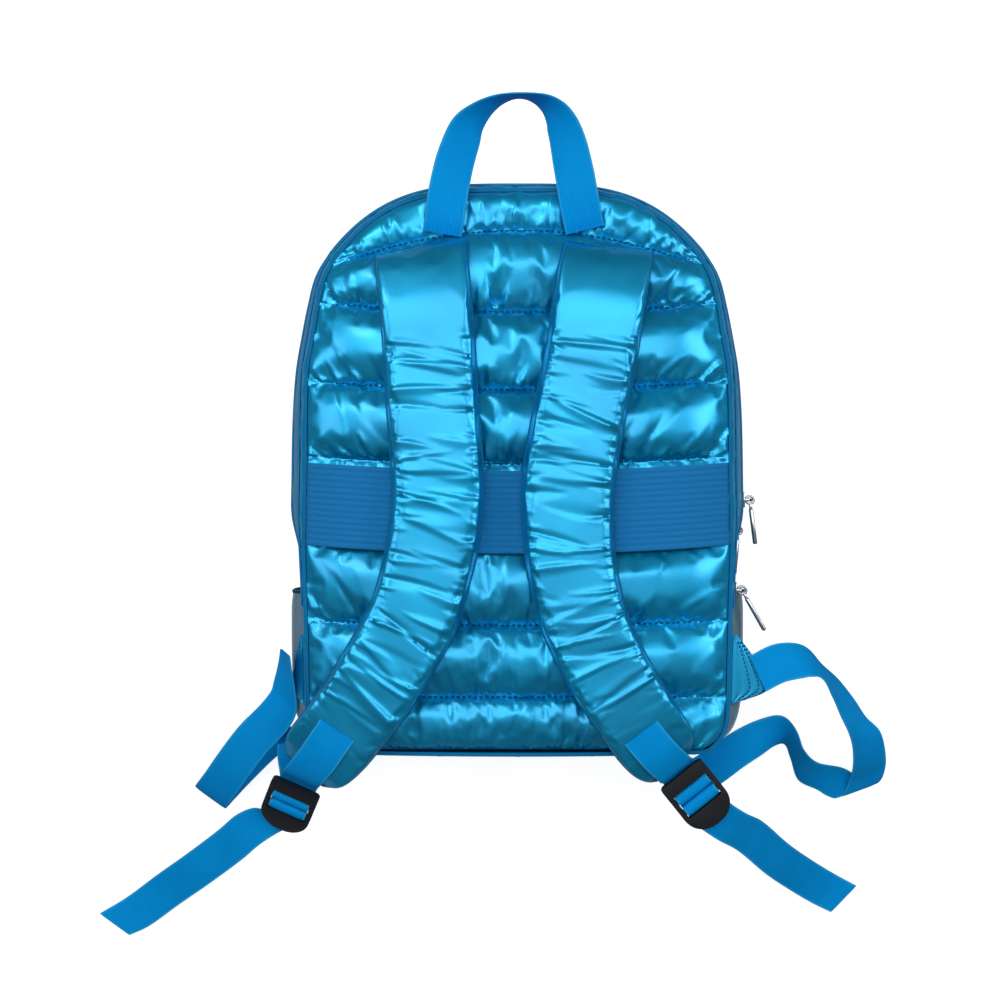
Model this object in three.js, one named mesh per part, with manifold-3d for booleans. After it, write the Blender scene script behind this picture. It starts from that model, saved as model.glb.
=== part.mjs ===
// A quilted puffer backpack, lying flat on its front with the shoulder straps on top.
// Millimetres, +Z up, +Y towards the top of the bag, +X to the right as one looks down on it.
// The origin is the middle of the flattened crest on which the front panel rests.
import * as THREE from "three";
import * as BufferGeometryUtils from "three/addons/utils/BufferGeometryUtils.js";
import Module from "manifold-3d";

// Bag body
const BODY_LENGTH = 422;
const BODY_WIDTH = 320.6;
const BACK_SEAM_HEIGHT = 104;
const CROWN = 10;
const PUFF = 9;
const REST_FLAT = 2;
const PANEL_WALL = 3;
const GUSSET_WALL = 3;
const BULGE = 12.5;
const SEAM_GAP = 0.3;

// Webbing, band and padded straps
const WEB_WIDTH = 30;
const WEB_THICKNESS = 1.6;
const BAND_THICKNESS = 1.5;
const REST_GAP = 0.5;
const PAD_WIDTH = 68;
const PAD_THICKNESS = 15;
const PAD_EDGE = 5;

// Carry handle
const HANDLE_REACH = 72;
const HANDLE_SPAN = 108;
const HANDLE_THICKNESS = 2;

// Ladder buckles: a plate, a window with two cross bars, and a round nose
const BUCKLE_LENGTH = 49;
const BUCKLE_WIDTH = 39;
const BUCKLE_THICKNESS = 5;
const PLATE_LENGTH = 11;
const CROSS_BAR = 5.5;
const BAR_THICKNESS = 2;
const BAR_RISE = 0.8;
const NOSE_FREE = 8;
const STRAP_CLEAR = 0.45;
const BUCKLE_HEIGHT = 100;

// Side wings, strap loops and loose strap ends
const WING_REACH = 28;
const WING_THICKNESS = 2.4;
const LOOP_REACH = 120;
const TAIL_REACH = 180;

// Side pockets
const POCKET_DEPTH = 7;
const POCKET_WALL = 1.5;

// Zips, sliders and pulls
const ZIP_THICKNESS = 1.3;
const ZIP_GAP = 0.35;
const SLIDER_LENGTH = 12;
const SLIDER_WIDTH = 9.4;
const SLIDER_PLATE = 1.5;
const BRIDGE_HEIGHT = 6.9;
const BRIDGE_BAR = 2.2;
const PULL_LENGTH = 35;
const PULL_WIDTH = 6;
const PULL_THICKNESS = 3;
const EYE_HOLE = 2.1;
const EYE_RIM = 1.8;
const EYE_WIDTH = 3.6;
const NECK_THICKNESS = 2.1;

// Worked-out sizes
const HALF_LENGTH = BODY_LENGTH / 2;
const HALF_WIDTH = BODY_WIDTH / 2;
const FRONT_SEAM_HEIGHT = CROWN + PUFF - REST_FLAT;
const GUSSET_HEIGHT = BACK_SEAM_HEIGHT - FRONT_SEAM_HEIGHT;
const PANEL_TOP = BACK_SEAM_HEIGHT + CROWN + PUFF;
const BAND_LIFT = REST_GAP;
const PAD_LIFT = BAND_LIFT + BAND_THICKNESS + REST_GAP;

// The side outline from the upper corners down: share of the half length, share of the half
// width, and share of the gusset's bulge there.
const SIDE_ROWS = [
  [0.775, 0.84, 0.8],
  [0.7, 0.899, 0.8],
  [0.605, 0.932, 0.8],
  [0.49, 0.958, 0.85],
  [0.36, 0.986, 0.85],
  [0.19, 0.993, 0.95],
  [0.0, 0.994, 1.0],
  [-0.16, 0.998, 0.95],
  [-0.3, 1.0, 0.42],
  [-0.43, 0.994, 0.32],
  [-0.5, 0.991, 0.45],
  [-0.68, 0.986, 0.5],
  [-0.84, 0.981, 0.45],
  [-0.91, 0.972, 0.35],
  [-0.962, 0.94, 0.25],
  [-1.0, 0.87, 0.1],
];
const ROW_ZIP_BACK_END = 10;
const ROW_ZIP_MIDDLE_END = 8;
const ROW_ZIP_FRONT_END = 9;
const ROW_POCKET_MOUTH = 9;
const ROW_POCKET_BOTTOM = 14;

// The arched top edge: its drop at the corners and the power of its curve.
const ARCH_DROP = 0.225;
const ARCH_POWER = 3.6;

// Columns of the quilted panels, as shares of the half width.
const COLUMNS = [-1, -0.93, -0.8, -0.55, -0.2, 0.2, 0.55, 0.8, 0.93, 1];

// Quilting seams of each panel from the arch down: share of the half length at the middle, and
// how far the seam's ends lie above it. Then the puff of the channel above the seam, and the
// places and heights of the rows across that channel.
const FLAT_TOP = [[0.12, 0.55], [0.3, 0.92], [0.7, 0.92], [0.88, 0.55]];
const LOW_TOP = [[0.2, 0.8], [0.8, 0.8]];
const SHORT_TOP = [[0.25, 0.75], [0.6, 1], [0.85, 0.6]];
const BROAD_TOP = [[0.1, 0.5], [0.26, 0.88], [0.74, 0.88], [0.9, 0.5]];
const BACK_SEAMS = [
  { at: 0.86, bow: -0.12, puff: 0.6, rows: LOW_TOP },
  { at: 0.565, bow: 0.036, puff: 0.95, rows: FLAT_TOP },
  { at: 0.288, bow: 0.034, puff: 1, rows: FLAT_TOP },
  { at: 0.023, bow: 0.031, puff: 1, rows: FLAT_TOP },
  { at: -0.276, bow: 0.03, puff: 0.15, rows: LOW_TOP },
  { at: -0.552, bow: 0.016, puff: 1, rows: FLAT_TOP },
  { at: -0.809, bow: 0, puff: 0.95, rows: FLAT_TOP },
  { at: -1, bow: 0, puff: 0.7, rows: SHORT_TOP },
];
const FRONT_SEAMS = [
  { at: 0.84, bow: -0.1, puff: 0.6, rows: LOW_TOP },
  { at: 0.6, bow: 0, puff: 1, rows: BROAD_TOP },
  { at: 0.36, bow: 0, puff: 1, rows: BROAD_TOP },
  { at: 0.12, bow: 0, puff: 1, rows: BROAD_TOP },
  { at: -0.12, bow: 0, puff: 1, rows: BROAD_TOP },
  { at: -0.36, bow: 0, puff: 1, rows: BROAD_TOP },
  { at: -0.6, bow: 0, puff: 1, rows: BROAD_TOP },
  { at: -0.82, bow: 0, puff: 0.95, rows: BROAD_TOP },
  { at: -1, bow: 0, puff: 0.6, rows: LOW_TOP },
];
const SLEEVE_CHANNEL = 4;

// Levels up the gusset: share of its height, and share of the bulge at that level. The three
// zips lie on the upright stretches.
const GUSSET_LEVELS = [
  [0, 0],
  [0.09, 0.6],
  [0.23, 0.6],
  [0.33, 1],
  [0.47, 1],
  [0.64, 0.7],
  [0.78, 0.25],
  [0.92, 0.25],
  [1, 0],
];
const LEVEL_ZIP_FRONT = 1;
const LEVEL_ZIP_MIDDLE = 3;
const LEVEL_ZIP_BACK = 6;

// Shoulder pads, from the upper end down: shares of the half width and half length for the
// middle of the pad, share of the pad width, share of the pad thickness, and the height of its
// underside as a share of the crown and puff together.
const LEFT_PAD = [
  [-0.455, 0.793, 0.99, 0.4, 0.62],
  [-0.446, 0.71, 1, 0.75, 0.85],
  [-0.43, 0.597, 1, 1, 1],
  [-0.412, 0.422, 1, 1, 1],
  [-0.399, 0.247, 1, 1, 1],
  [-0.38, 0.071, 1, 1, 1],
  [-0.371, -0.069, 1, 1, 1],
  [-0.387, -0.222, 0.99, 1, 1],
  [-0.422, -0.348, 0.98, 1, 1],
  [-0.479, -0.5, 0.97, 1, 1],
  [-0.565, -0.628, 0.96, 1, 0.98],
  [-0.64, -0.724, 0.95, 1, 0.93],
  [-0.713, -0.809, 0.94, 0.95, 0.85],
  [-0.787, -0.885, 0.92, 0.9, 0.7],
  [-0.869, -0.964, 0.9, 0.8, 0.5],
  [-0.945, -1.026, 0.84, 0.62, 0.24],
  [-0.98, -1.054, 0.7, 0.32, 0.0],
  [-1.002, -1.073, 0.52, 0.1, -0.2],
];
const RIGHT_PAD = [
  [0.423, 0.793, 0.98, 0.4, 0.62],
  [0.402, 0.71, 1, 0.75, 0.85],
  [0.376, 0.597, 1, 1, 1],
  [0.341, 0.422, 1, 1, 1],
  [0.297, 0.247, 1, 1, 1],
  [0.253, 0.071, 1.01, 1, 1],
  [0.23, -0.069, 1.01, 1, 1],
  [0.232, -0.209, 0.99, 1, 1],
  [0.248, -0.343, 0.97, 1, 1],
  [0.29, -0.487, 0.95, 1, 1],
  [0.332, -0.578, 0.93, 1, 1],
  [0.406, -0.694, 0.91, 1, 0.97],
  [0.474, -0.781, 0.89, 0.97, 0.92],
  [0.548, -0.867, 0.87, 0.92, 0.83],
  [0.616, -0.944, 0.85, 0.85, 0.66],
  [0.676, -1.0, 0.8, 0.66, 0.44],
  [0.713, -1.032, 0.68, 0.38, 0.24],
  [0.733, -1.048, 0.52, 0.1, 0.05],
];

// Section of a pad around its rounded edge: share of the half width, and share of the rise
// from the edge thickness to the full thickness.
const PAD_SECTION = [[-1, 0], [-0.78, 0.62], [-0.4, 0.95], [0, 1], [0.4, 0.95], [0.78, 0.62], [1, 0]];

// Carry handle, from the left foot over to the right foot: shares of the span and of the reach
// beyond the body's top edge, height as a share of the puff above the back seam, and the tilt
// in degrees of the webbing's width.
const HANDLE_ROWS = [
  [-0.528, -0.46, 1.05, 0],
  [-0.509, -0.29, 1.25, 0],
  [-0.488, -0.06, 1.35, 6],
  [-0.463, 0.125, 1.4, 12],
  [-0.439, 0.278, 1.4, 18],
  [-0.407, 0.43, 1.4, 25],
  [-0.376, 0.556, 1.4, 32],
  [-0.347, 0.646, 1.4, 42],
  [-0.305, 0.728, 1.4, 56],
  [-0.229, 0.834, 1.4, 72],
  [-0.139, 0.918, 1.4, 85],
  [-0.04, 0.965, 1.4, 94],
  [0.04, 0.97, 1.4, 95],
  [0.122, 0.942, 1.4, 88],
  [0.201, 0.88, 1.4, 74],
  [0.262, 0.785, 1.4, 58],
  [0.296, 0.695, 1.4, 46],
  [0.326, 0.583, 1.4, 37],
  [0.35, 0.458, 1.4, 29],
  [0.369, 0.328, 1.4, 22],
  [0.396, 0.125, 1.4, 14],
  [0.419, -0.072, 1.35, 8],
  [0.443, -0.264, 1.25, 0],
  [0.468, -0.42, 1.05, 0],
];

// Where each ladder buckle hangs: shares of the half width and half length for the middle of
// its top bar, share of the buckle height, its turn, and how far its nose dips.
const BUCKLES = {
  left: { x: -1.045, y: -1.13, z: 0.95, turn: -24, dip: 36 },
  right: { x: 0.765, y: -1.085, z: 1.0, turn: 38.5, dip: 10 },
};

// The pad ends of the short adapter straps: shares of the half width and half length, height
// of the strap as a share of the panel top, and turn.
const ADAPTERS = {
  left: [
    [-0.835, -0.91, 1.093, -33],
    [-0.885, -0.965, 1.075, -33],
    [-0.935, -1.02, 1.032, -32],
    [-0.985, -1.068, 0.965, -28],
    [-1.015, -1.095, 0.9, -25],
  ],
  right: [
    [0.565, -0.918, 1.112, 37],
    [0.615, -0.965, 1.1, 37],
    [0.665, -1.008, 1.065, 38],
    [0.71, -1.042, 1.005, 38],
    [0.74, -1.066, 0.94, 38],
  ],
};

// Lower straps from where they are sewn to the wing to where they enter the buckle: share of
// the way between the two, offset from it in x and y as shares of the loop reach, height as a
// share of the buckle height, turn and tilt in degrees.
const LEFT_START = { x: -1.113, y: -0.66 };
const LEFT_LOOP = [
  [0, 0, 0, 0.84, -20, 68],
  [0.06, -0.008, -0.041, 0.81, -18, 62],
  [0.12, -0.02, -0.115, 0.77, -22, 48],
  [0.18, -0.035, -0.169, 0.73, -35, 30],
  [0.24, -0.108, -0.226, 0.69, -44, 15],
  [0.29, -0.258, -0.335, 0.62, -44, 6],
  [0.35, -0.392, -0.45, 0.54, -38, 3],
  [0.41, -0.509, -0.553, 0.42, -36, 0],
  [0.47, -0.591, -0.598, 0.28, -36, 0],
  [0.53, -0.61, -0.573, 0.16, -36, 0],
  [0.59, -0.572, -0.476, 0.07, -37, 0],
  [0.65, -0.468, -0.309, 0.05, -40, 0],
  [0.71, -0.304, -0.091, 0.09, -42, 0],
  [0.76, -0.157, 0.076, 0.22, -40, 0],
  [0.82, -0.078, 0.16, 0.4, -36, 0],
  [0.88, -0.044, 0.136, 0.57, -30, 0],
  [0.94, -0.031, 0.061, 0.71, -26, 0],
];
const RIGHT_START = { x: 1.143, y: -0.733 };
const RIGHT_LOOP = [
  [0, 0, 0, 0.92, -66, 0],
  [0.04, 0.147, 0.09, 0.915, -68, 8],
  [0.08, 0.282, 0.135, 0.895, -76, 26],
  [0.12, 0.385, 0.15, 0.86, -92, 46],
  [0.16, 0.493, 0.12, 0.82, -112, 70],
  [0.2, 0.615, 0.03, 0.74, -132, 62],
  [0.24, 0.738, -0.092, 0.62, -142, 52],
  [0.28, 0.842, -0.195, 0.52, -148, 46],
  [0.32, 0.934, -0.269, 0.42, -156, 26],
  [0.36, 1.0, -0.407, 0.26, -163, 14],
  [0.4, 1.027, -0.495, 0.12, -166, 4],
  [0.43, 1.02, -0.562, 0.044, -163, 0],
  [0.46, 0.985, -0.575, 0.018, -158, 0],
  [0.49, 0.93, -0.525, 0.05, -150, -10],
  [0.52, 0.84, -0.44, 0.11, -134, -26],
  [0.56, 0.699, -0.354, 0.17, -125, -46],
  [0.6, 0.631, -0.199, 0.28, -120, -66],
  [0.64, 0.592, -0.052, 0.37, -112, -60],
  [0.68, 0.523, 0.024, 0.44, -100, -30],
  [0.72, 0.42, 0.02, 0.52, -90, -10],
  [0.76, 0.292, -0.026, 0.56, -80, 0],
  [0.8, 0.166, -0.1, 0.56, -72, 0],
  [0.84, 0.07, -0.15, 0.56, -76, 0],
  [0.88, -0.015, -0.155, 0.6, -90, 0],
  [0.92, -0.074, -0.086, 0.73, -115, 0],
  [0.96, -0.059, -0.035, 0.84, -134, 0],
];

// Loose strap ends below the buckles: shares of the tail reach in x and y from the buckle's
// nose, height as a share of the buckle height, turn and tilt.
const LEFT_TAIL = [
  [-0.06, 0.02, 0.61, -34, 0],
  [-0.147, -0.028, 0.57, -46, 0],
  [-0.236, -0.106, 0.48, -50, 0],
  [-0.389, -0.228, 0.31, -52, 0],
  [-0.548, -0.348, 0.14, -52, 0],
  [-0.696, -0.461, 0.03, -48, 0],
  [-0.8, -0.518, 0.018, -36, 0],
];
const RIGHT_TAIL = [
  [0.06, -0.03, 0.84, 42, 0],
  [0.155, -0.09, 0.68, 48, 0],
  [0.297, -0.22, 0.42, 52, 0],
  [0.417, -0.314, 0.2, 53, 0],
  [0.54, -0.397, 0.05, 52, 0],
  [0.633, -0.447, 0.018, 46, 0],
];

const LOWER_STRAPS = {
  left: { start: LEFT_START, loop: LEFT_LOOP, tail: LEFT_TAIL },
  right: { start: RIGHT_START, loop: RIGHT_LOOP, tail: RIGHT_TAIL },
};

// The wings: places down the side outline, as a row and the share of the way to the next one,
// with how far each reaches out. Then how far each wing spreads and droops. All are shares.
const WING_ROWS = [
  [10, 0.55, 0.12],
  [11, 0, 0.62],
  [11, 0.6, 1],
  [11, 1, 0.1],
];
const WINGS = {
  left: { spread: 0.36, droop: 0.4 },
  right: { spread: 1, droop: 0.1 },
};

// The buckle's outline beside its middle line: share of the half width, share of the length.
const BUCKLE_OUTLINE = [[0.88, 0], [1, 0.12], [1, 0.6]];
const NOSE_FULLNESS = 0.86;
const NOSE_SEGMENTS = 5;
const RING_SEGMENTS = 4;

// How far the band laps over the seams above and below it, as shares of the half length.
const BAND_LAP = { top: -0.024, bottom: -0.019 };
const BAND_ROWS = [0, 0.5, 1];

// Powers of the curves along which crown and puff fall away to the panel's edges.
const CROWN_POWER = 4;
const PUFF_POWER = 8;

// Zip sliders on the right side: share of the half length where each one is parked, which zip
// it runs on, and how far its pull is swung out from lying along the zip.
const SLIDERS = {
  1: { at: -0.104, level: LEVEL_ZIP_MIDDLE, swing: 7 },
  2: { at: -0.216, level: LEVEL_ZIP_FRONT, swing: 2 },
  3: { at: -0.431, level: LEVEL_ZIP_BACK, swing: 32 },
};

const material = (color, roughness, metalness) =>
  new THREE.MeshStandardMaterial({ color, roughness, metalness });
const quilted = () => material(0x0090c8, 0.3, 0.55);
const webbing = () => material(0x0a8fdb, 0.75, 0);
const zipTape = () => material(0x0b7fb4, 0.7, 0);
const meshNet = () => material(0x7f9aa8, 0.8, 0);
const blackPlastic = () => material(0x15171c, 0.45, 0);
const chrome = () => material(0xd9dde0, 0.12, 1);

const wasm = await Module();
wasm.setup();

const vec = (x, y, z) => new THREE.Vector3(x, y, z);
const lerp = (a, b, t) => a + (b - a) * t;
const radians = THREE.MathUtils.degToRad;

// A closed geometry from points and triangles, turned so that its faces point outwards.
function closedGeometry(points, triangles) {
  let volume = 0;
  for (const [a, b, c] of triangles) {
    volume += points[a].dot(points[b].clone().cross(points[c]));
  }
  const faces = volume < 0 ? triangles.map(([a, b, c]) => [a, c, b]) : triangles;
  const geometry = new THREE.BufferGeometry();
  geometry.setAttribute("position", new THREE.Float32BufferAttribute(points.flatMap((p) => p.toArray()), 3));
  geometry.setIndex(faces.flat());
  geometry.computeVertexNormals();
  return geometry;
}

// A padded sheet between two grids of points with the same rows and columns.
function gridShell(outer, inner) {
  const rows = outer.length;
  const columns = outer[0].length;
  const points = [...outer.flat(), ...inner.flat()];
  const under = rows * columns;
  const id = (r, c) => r * columns + c;
  const triangles = [];
  const quad = (a, b, c, d) => triangles.push([a, b, c], [a, c, d]);
  for (let r = 0; r < rows - 1; r += 1) {
    for (let c = 0; c < columns - 1; c += 1) {
      quad(id(r, c), id(r + 1, c), id(r + 1, c + 1), id(r, c + 1));
      quad(under + id(r, c), under + id(r, c + 1), under + id(r + 1, c + 1), under + id(r + 1, c));
    }
  }
  const rim = [];
  for (let c = 0; c < columns - 1; c += 1) rim.push(id(0, c));
  for (let r = 0; r < rows - 1; r += 1) rim.push(id(r, columns - 1));
  for (let c = columns - 1; c > 0; c -= 1) rim.push(id(rows - 1, c));
  for (let r = rows - 1; r > 0; r -= 1) rim.push(id(r, 0));
  rim.forEach((a, i) => {
    const b = rim[(i + 1) % rim.length];
    quad(a, b, under + b, under + a);
  });
  return closedGeometry(points, triangles);
}

// A sweep through sections of equal size, either with flat ends or closed into a ring. The two
// halves of each section are split along opposite diagonals, so both faces of a sheet bend alike.
function sweep(sections, ring = false) {
  const size = sections[0].length;
  const count = sections.length;
  const points = sections.flat();
  const triangles = [];
  const last = ring ? count : count - 1;
  for (let s = 0; s < last; s += 1) {
    const here = s * size;
    const next = ((s + 1) % count) * size;
    for (let k = 0; k < size; k += 1) {
      const l = (k + 1) % size;
      const first = k < size / 2;
      triangles.push([here + k, here + l, first ? next + l : next + k]);
      triangles.push([first ? here + k : here + l, next + l, next + k]);
    }
  }
  if (!ring) {
    const end = (count - 1) * size;
    for (let k = 1; k < size - 1; k += 1) {
      triangles.push([0, k + 1, k], [end, end + k, end + k + 1]);
    }
  }
  return closedGeometry(points, triangles);
}

// A flat strap between two edges, each a list of points.
function strap(edgeA, edgeB, thickness) {
  const sections = edgeA.map((a, i) => {
    const b = edgeB[i];
    const before = Math.max(i - 1, 0);
    const after = Math.min(i + 1, edgeA.length - 1);
    const along = edgeA[after].clone().add(edgeB[after]).sub(edgeA[before]).sub(edgeB[before]);
    const half = along.cross(b.clone().sub(a)).normalize().multiplyScalar(thickness / 2);
    return [a.clone().add(half), b.clone().add(half), b.clone().sub(half), a.clone().sub(half)];
  });
  return sweep(sections);
}

// A strap through stations: middle point, turn and tilt of its width.
function webStrap(stations, thickness = WEB_THICKNESS, width = WEB_WIDTH) {
  const side = (sign) =>
    stations.map(({ at, turn, tilt }) => {
      const level = Math.cos(radians(tilt));
      const rise = Math.sin(radians(tilt));
      const across = vec(level * Math.cos(radians(turn)), level * Math.sin(radians(turn)), rise);
      return at.clone().addScaledVector(across, (sign * width) / 2);
    });
  return strap(side(-1), side(1), thickness);
}

// Half width of the body's outline at a place along its length.
function halfWidthAt(v) {
  const low = SIDE_ROWS.findIndex(([at]) => at <= v);
  if (low === 0) return SIDE_ROWS[0][1] * HALF_WIDTH;
  const [v1, w1] = SIDE_ROWS[low < 0 ? SIDE_ROWS.length - 1 : low];
  const [v0, w0] = SIDE_ROWS[low < 0 ? SIDE_ROWS.length - 2 : low - 1];
  return lerp(w1, w0, (v - v1) / (v0 - v1)) * HALF_WIDTH;
}

const crownAt = (u, v) => CROWN * (1 - u ** CROWN_POWER) * (1 - v ** CROWN_POWER);
const puffAt = (u) => PUFF * (1 - u ** PUFF_POWER);
const archAt = (u) => 1 - ARCH_DROP * Math.abs(u) ** ARCH_POWER;
const seamAt = (seam, u) => seam.at + seam.bow * u * u;

// The rows of a quilted panel, each with its place at every column, its crown and its puff.
function panelRows(seams) {
  const rows = [{ v: archAt, x: () => halfWidthAt(1), crown: 0, puff: 0 }];
  seams.forEach((seam, k) => {
    const above = k === 0 ? archAt : (u) => seamAt(seams[k - 1], u);
    const reach = (v) => halfWidthAt(Math.min(v, SIDE_ROWS[0][0]));
    for (const [t, height] of [...seam.rows, [1, 0]]) {
      const v = (u) => lerp(above(u), seamAt(seam, u), t);
      rows.push({ v, x: (u) => reach(v(u)), crown: k === 0 ? t : 1, puff: height * seam.puff });
    }
  });
  return rows;
}

// A panel's outer and inner grids; the heights are worked out by the two functions given.
function panelGrids(seams, outerHeight, innerHeight) {
  const grid = (heightOf) =>
    panelRows(seams).map((row) =>
      COLUMNS.map((u) => {
        const v = row.v(u);
        const crown = row.crown * crownAt(u, v);
        const puff = row.puff * puffAt(u);
        return vec(u * row.x(u), v * HALF_LENGTH, heightOf(crown, puff));
      }),
    );
  return [grid(outerHeight), grid(innerHeight)];
}

const [backOuter, backInner] = panelGrids(
  BACK_SEAMS,
  (crown, puff) => BACK_SEAM_HEIGHT + crown + puff,
  (crown) => BACK_SEAM_HEIGHT + crown - PANEL_WALL,
);
const [frontOuter, frontInner] = panelGrids(
  FRONT_SEAMS,
  (crown, puff) => Math.max(FRONT_SEAM_HEIGHT - crown - puff, 0),
  (crown) => FRONT_SEAM_HEIGHT - crown + PANEL_WALL,
);

// The outline that both panels share, walked from the upper left corner over the arch, down the
// right side, along the base and up the left side.
function outlineStations() {
  const side = (sign) =>
    SIDE_ROWS.map(([v, w, bulge], row) => ({
      at: new THREE.Vector2(sign * w * HALF_WIDTH, v * HALF_LENGTH),
      bulge,
      row,
      sign,
    }));
  const arch = COLUMNS.slice(1, -1).map((u) => ({
    at: new THREE.Vector2(u * SIDE_ROWS[0][1] * HALF_WIDTH, archAt(u) * HALF_LENGTH),
    bulge: SIDE_ROWS[0][2],
    row: -1,
    sign: 0,
  }));
  const stations = [side(-1)[0], ...arch, ...side(1), ...side(-1).slice(1).reverse()];
  const count = stations.length;
  stations.forEach((station, i) => {
    const before = stations[(i + count - 1) % count].at;
    const after = stations[(i + 1) % count].at;
    const into = station.at.clone().sub(before).normalize();
    const out = after.clone().sub(station.at).normalize();
    const along = into.clone().add(out).normalize();
    const miter = 1 / into.dot(along);
    station.out = new THREE.Vector2(-along.y, along.x).multiplyScalar(miter);
  });
  return stations;
}

const stations = outlineStations();

// A point of the gusset, out from the seam by its bulge and a further offset.
function gussetPoint(station, level, offset) {
  const [share, bulge] = GUSSET_LEVELS[level];
  const out = SEAM_GAP + BULGE * bulge * station.bulge + offset;
  const at = station.at.clone().addScaledVector(station.out, out);
  return vec(at.x, at.y, FRONT_SEAM_HEIGHT + share * GUSSET_HEIGHT);
}

// Half the height of the upright stretch that starts at a level.
const halfTape = (level) => ((GUSSET_LEVELS[level + 1][0] - GUSSET_LEVELS[level][0]) * GUSSET_HEIGHT) / 2;

const levelIndices = GUSSET_LEVELS.map((_, j) => j);

function gussetGeometry() {
  return sweep(
    stations.map((station) => [
      ...levelIndices.map((j) => gussetPoint(station, j, GUSSET_WALL)),
      ...levelIndices.toReversed().map((j) => gussetPoint(station, j, 0)),
    ]),
    true,
  );
}

const indexOfRow = (row, sign) => stations.findIndex((s) => s.row === row && (row < 0 || s.sign === sign));

// A zip's tape, laid on an upright stretch of the gusset from the left end over the top.
function zipGeometry(level, endRow) {
  const left = indexOfRow(endRow, -1);
  const right = indexOfRow(endRow, 1);
  const path = [...stations.slice(left), ...stations.slice(0, right + 1)];
  const low = GUSSET_WALL + ZIP_GAP;
  const high = low + ZIP_THICKNESS;
  return sweep(
    path.map((station) => [
      gussetPoint(station, level, low),
      gussetPoint(station, level, high),
      gussetPoint(station, level + 1, high),
      gussetPoint(station, level + 1, low),
    ]),
  );
}

// A shallow net pocket on one side of the gusset: sewn along three edges, open at the mouth.
function pocketGeometry(sign) {
  const rows = SIDE_ROWS.map((_, row) => row).slice(ROW_POCKET_MOUTH, ROW_POCKET_BOTTOM + 1);
  const levels = levelIndices.slice(LEVEL_ZIP_FRONT, LEVEL_ZIP_BACK + 1);
  const stand = (row, level) => {
    const sewn = row === ROW_POCKET_BOTTOM || level === levels[0] || level === levels.at(-1);
    return GUSSET_WALL + (sewn ? ZIP_GAP : POCKET_DEPTH);
  };
  const grid = (extra) =>
    rows.map((row) => {
      const station = stations[indexOfRow(row, sign)];
      return levels.map((level) => gussetPoint(station, level, stand(row, level) + extra));
    });
  return gridShell(grid(POCKET_WALL), grid(0));
}

// The elastic sleeve across the back panel, sewn into both side seams over the flat channel.
function bandGeometry() {
  const top = BACK_SEAMS[SLEEVE_CHANNEL - 1];
  const bottom = BACK_SEAMS[SLEEVE_CHANNEL];
  const grid = (lift) =>
    BAND_ROWS.map((t) =>
      COLUMNS.map((u) => {
        const v = lerp(seamAt(top, u) + BAND_LAP.top, seamAt(bottom, u) + BAND_LAP.bottom, t);
        const reach = halfWidthAt(v) - SEAM_GAP;
        return vec(u * reach, v * HALF_LENGTH, BACK_SEAM_HEIGHT + crownAt(u, v) + puffAt(u) + lift);
      }),
    );
  return gridShell(grid(BAND_LIFT + BAND_THICKNESS), grid(BAND_LIFT));
}

// A padded shoulder strap: sections square to its middle line, round at both edges.
function padGeometry(rows) {
  const middle = rows.map(([x, y]) => new THREE.Vector2(x * HALF_WIDTH, y * HALF_LENGTH));
  const grid = (upper) =>
    rows.map(([, , width, thickness, rise], i) => {
      const before = middle[Math.max(i - 1, 0)];
      const after = middle[Math.min(i + 1, rows.length - 1)];
      const along = after.clone().sub(before).normalize();
      const across = new THREE.Vector2(-along.y, along.x);
      const under = BACK_SEAM_HEIGHT + (CROWN + PUFF) * rise + PAD_LIFT;
      return PAD_SECTION.map(([share, bow]) => {
        const at = middle[i].clone().addScaledVector(across, (share * width * PAD_WIDTH) / 2);
        const full = lerp(PAD_EDGE, PAD_THICKNESS, bow * thickness);
        return vec(at.x, at.y, upper ? under + full : under);
      });
    });
  return gridShell(grid(true), grid(false));
}

function handleGeometry() {
  const places = HANDLE_ROWS.map(([x, y, z, tilt]) => ({
    at: vec(x * HANDLE_SPAN, HALF_LENGTH + y * HANDLE_REACH, BACK_SEAM_HEIGHT + z * PUFF),
    tilt,
  }));
  const path = places.map(({ at, tilt }, i) => {
    const before = places[Math.max(i - 1, 0)].at;
    const after = places[Math.min(i + 1, places.length - 1)].at;
    const turn = THREE.MathUtils.radToDeg(Math.atan2(after.y - before.y, after.x - before.x)) + 90;
    return { at, turn, tilt };
  });
  return webStrap(path, HANDLE_THICKNESS);
}

// The frame of a hanging buckle: x across it, y from its top bar back towards the pad, z up.
function buckleFrame({ x, y, z, turn, dip }) {
  const frame = new THREE.Group();
  frame.position.set(x * HALF_WIDTH, y * HALF_LENGTH, z * BUCKLE_HEIGHT);
  frame.rotation.set(radians(dip), 0, radians(turn), "ZYX");
  frame.updateMatrix();
  return frame;
}

const rectangle = (shape, x0, y0, x1, y1) => {
  shape.moveTo(x0, y0);
  shape.lineTo(x1, y0);
  shape.lineTo(x1, y1);
  shape.lineTo(x0, y1);
  shape.closePath();
};

// Slots at both ends of the window take one strap each, and the middle one takes two.
const END_SLOT = WEB_THICKNESS + 2 * STRAP_CLEAR;
const MIDDLE_SLOT = 2 * (WEB_THICKNESS + 2 * STRAP_CLEAR);
const FIRST_BAR = PLATE_LENGTH + END_SLOT;
const SECOND_BAR = FIRST_BAR + CROSS_BAR + MIDDLE_SLOT;
const WINDOW_END = SECOND_BAR + CROSS_BAR + END_SLOT;

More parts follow.
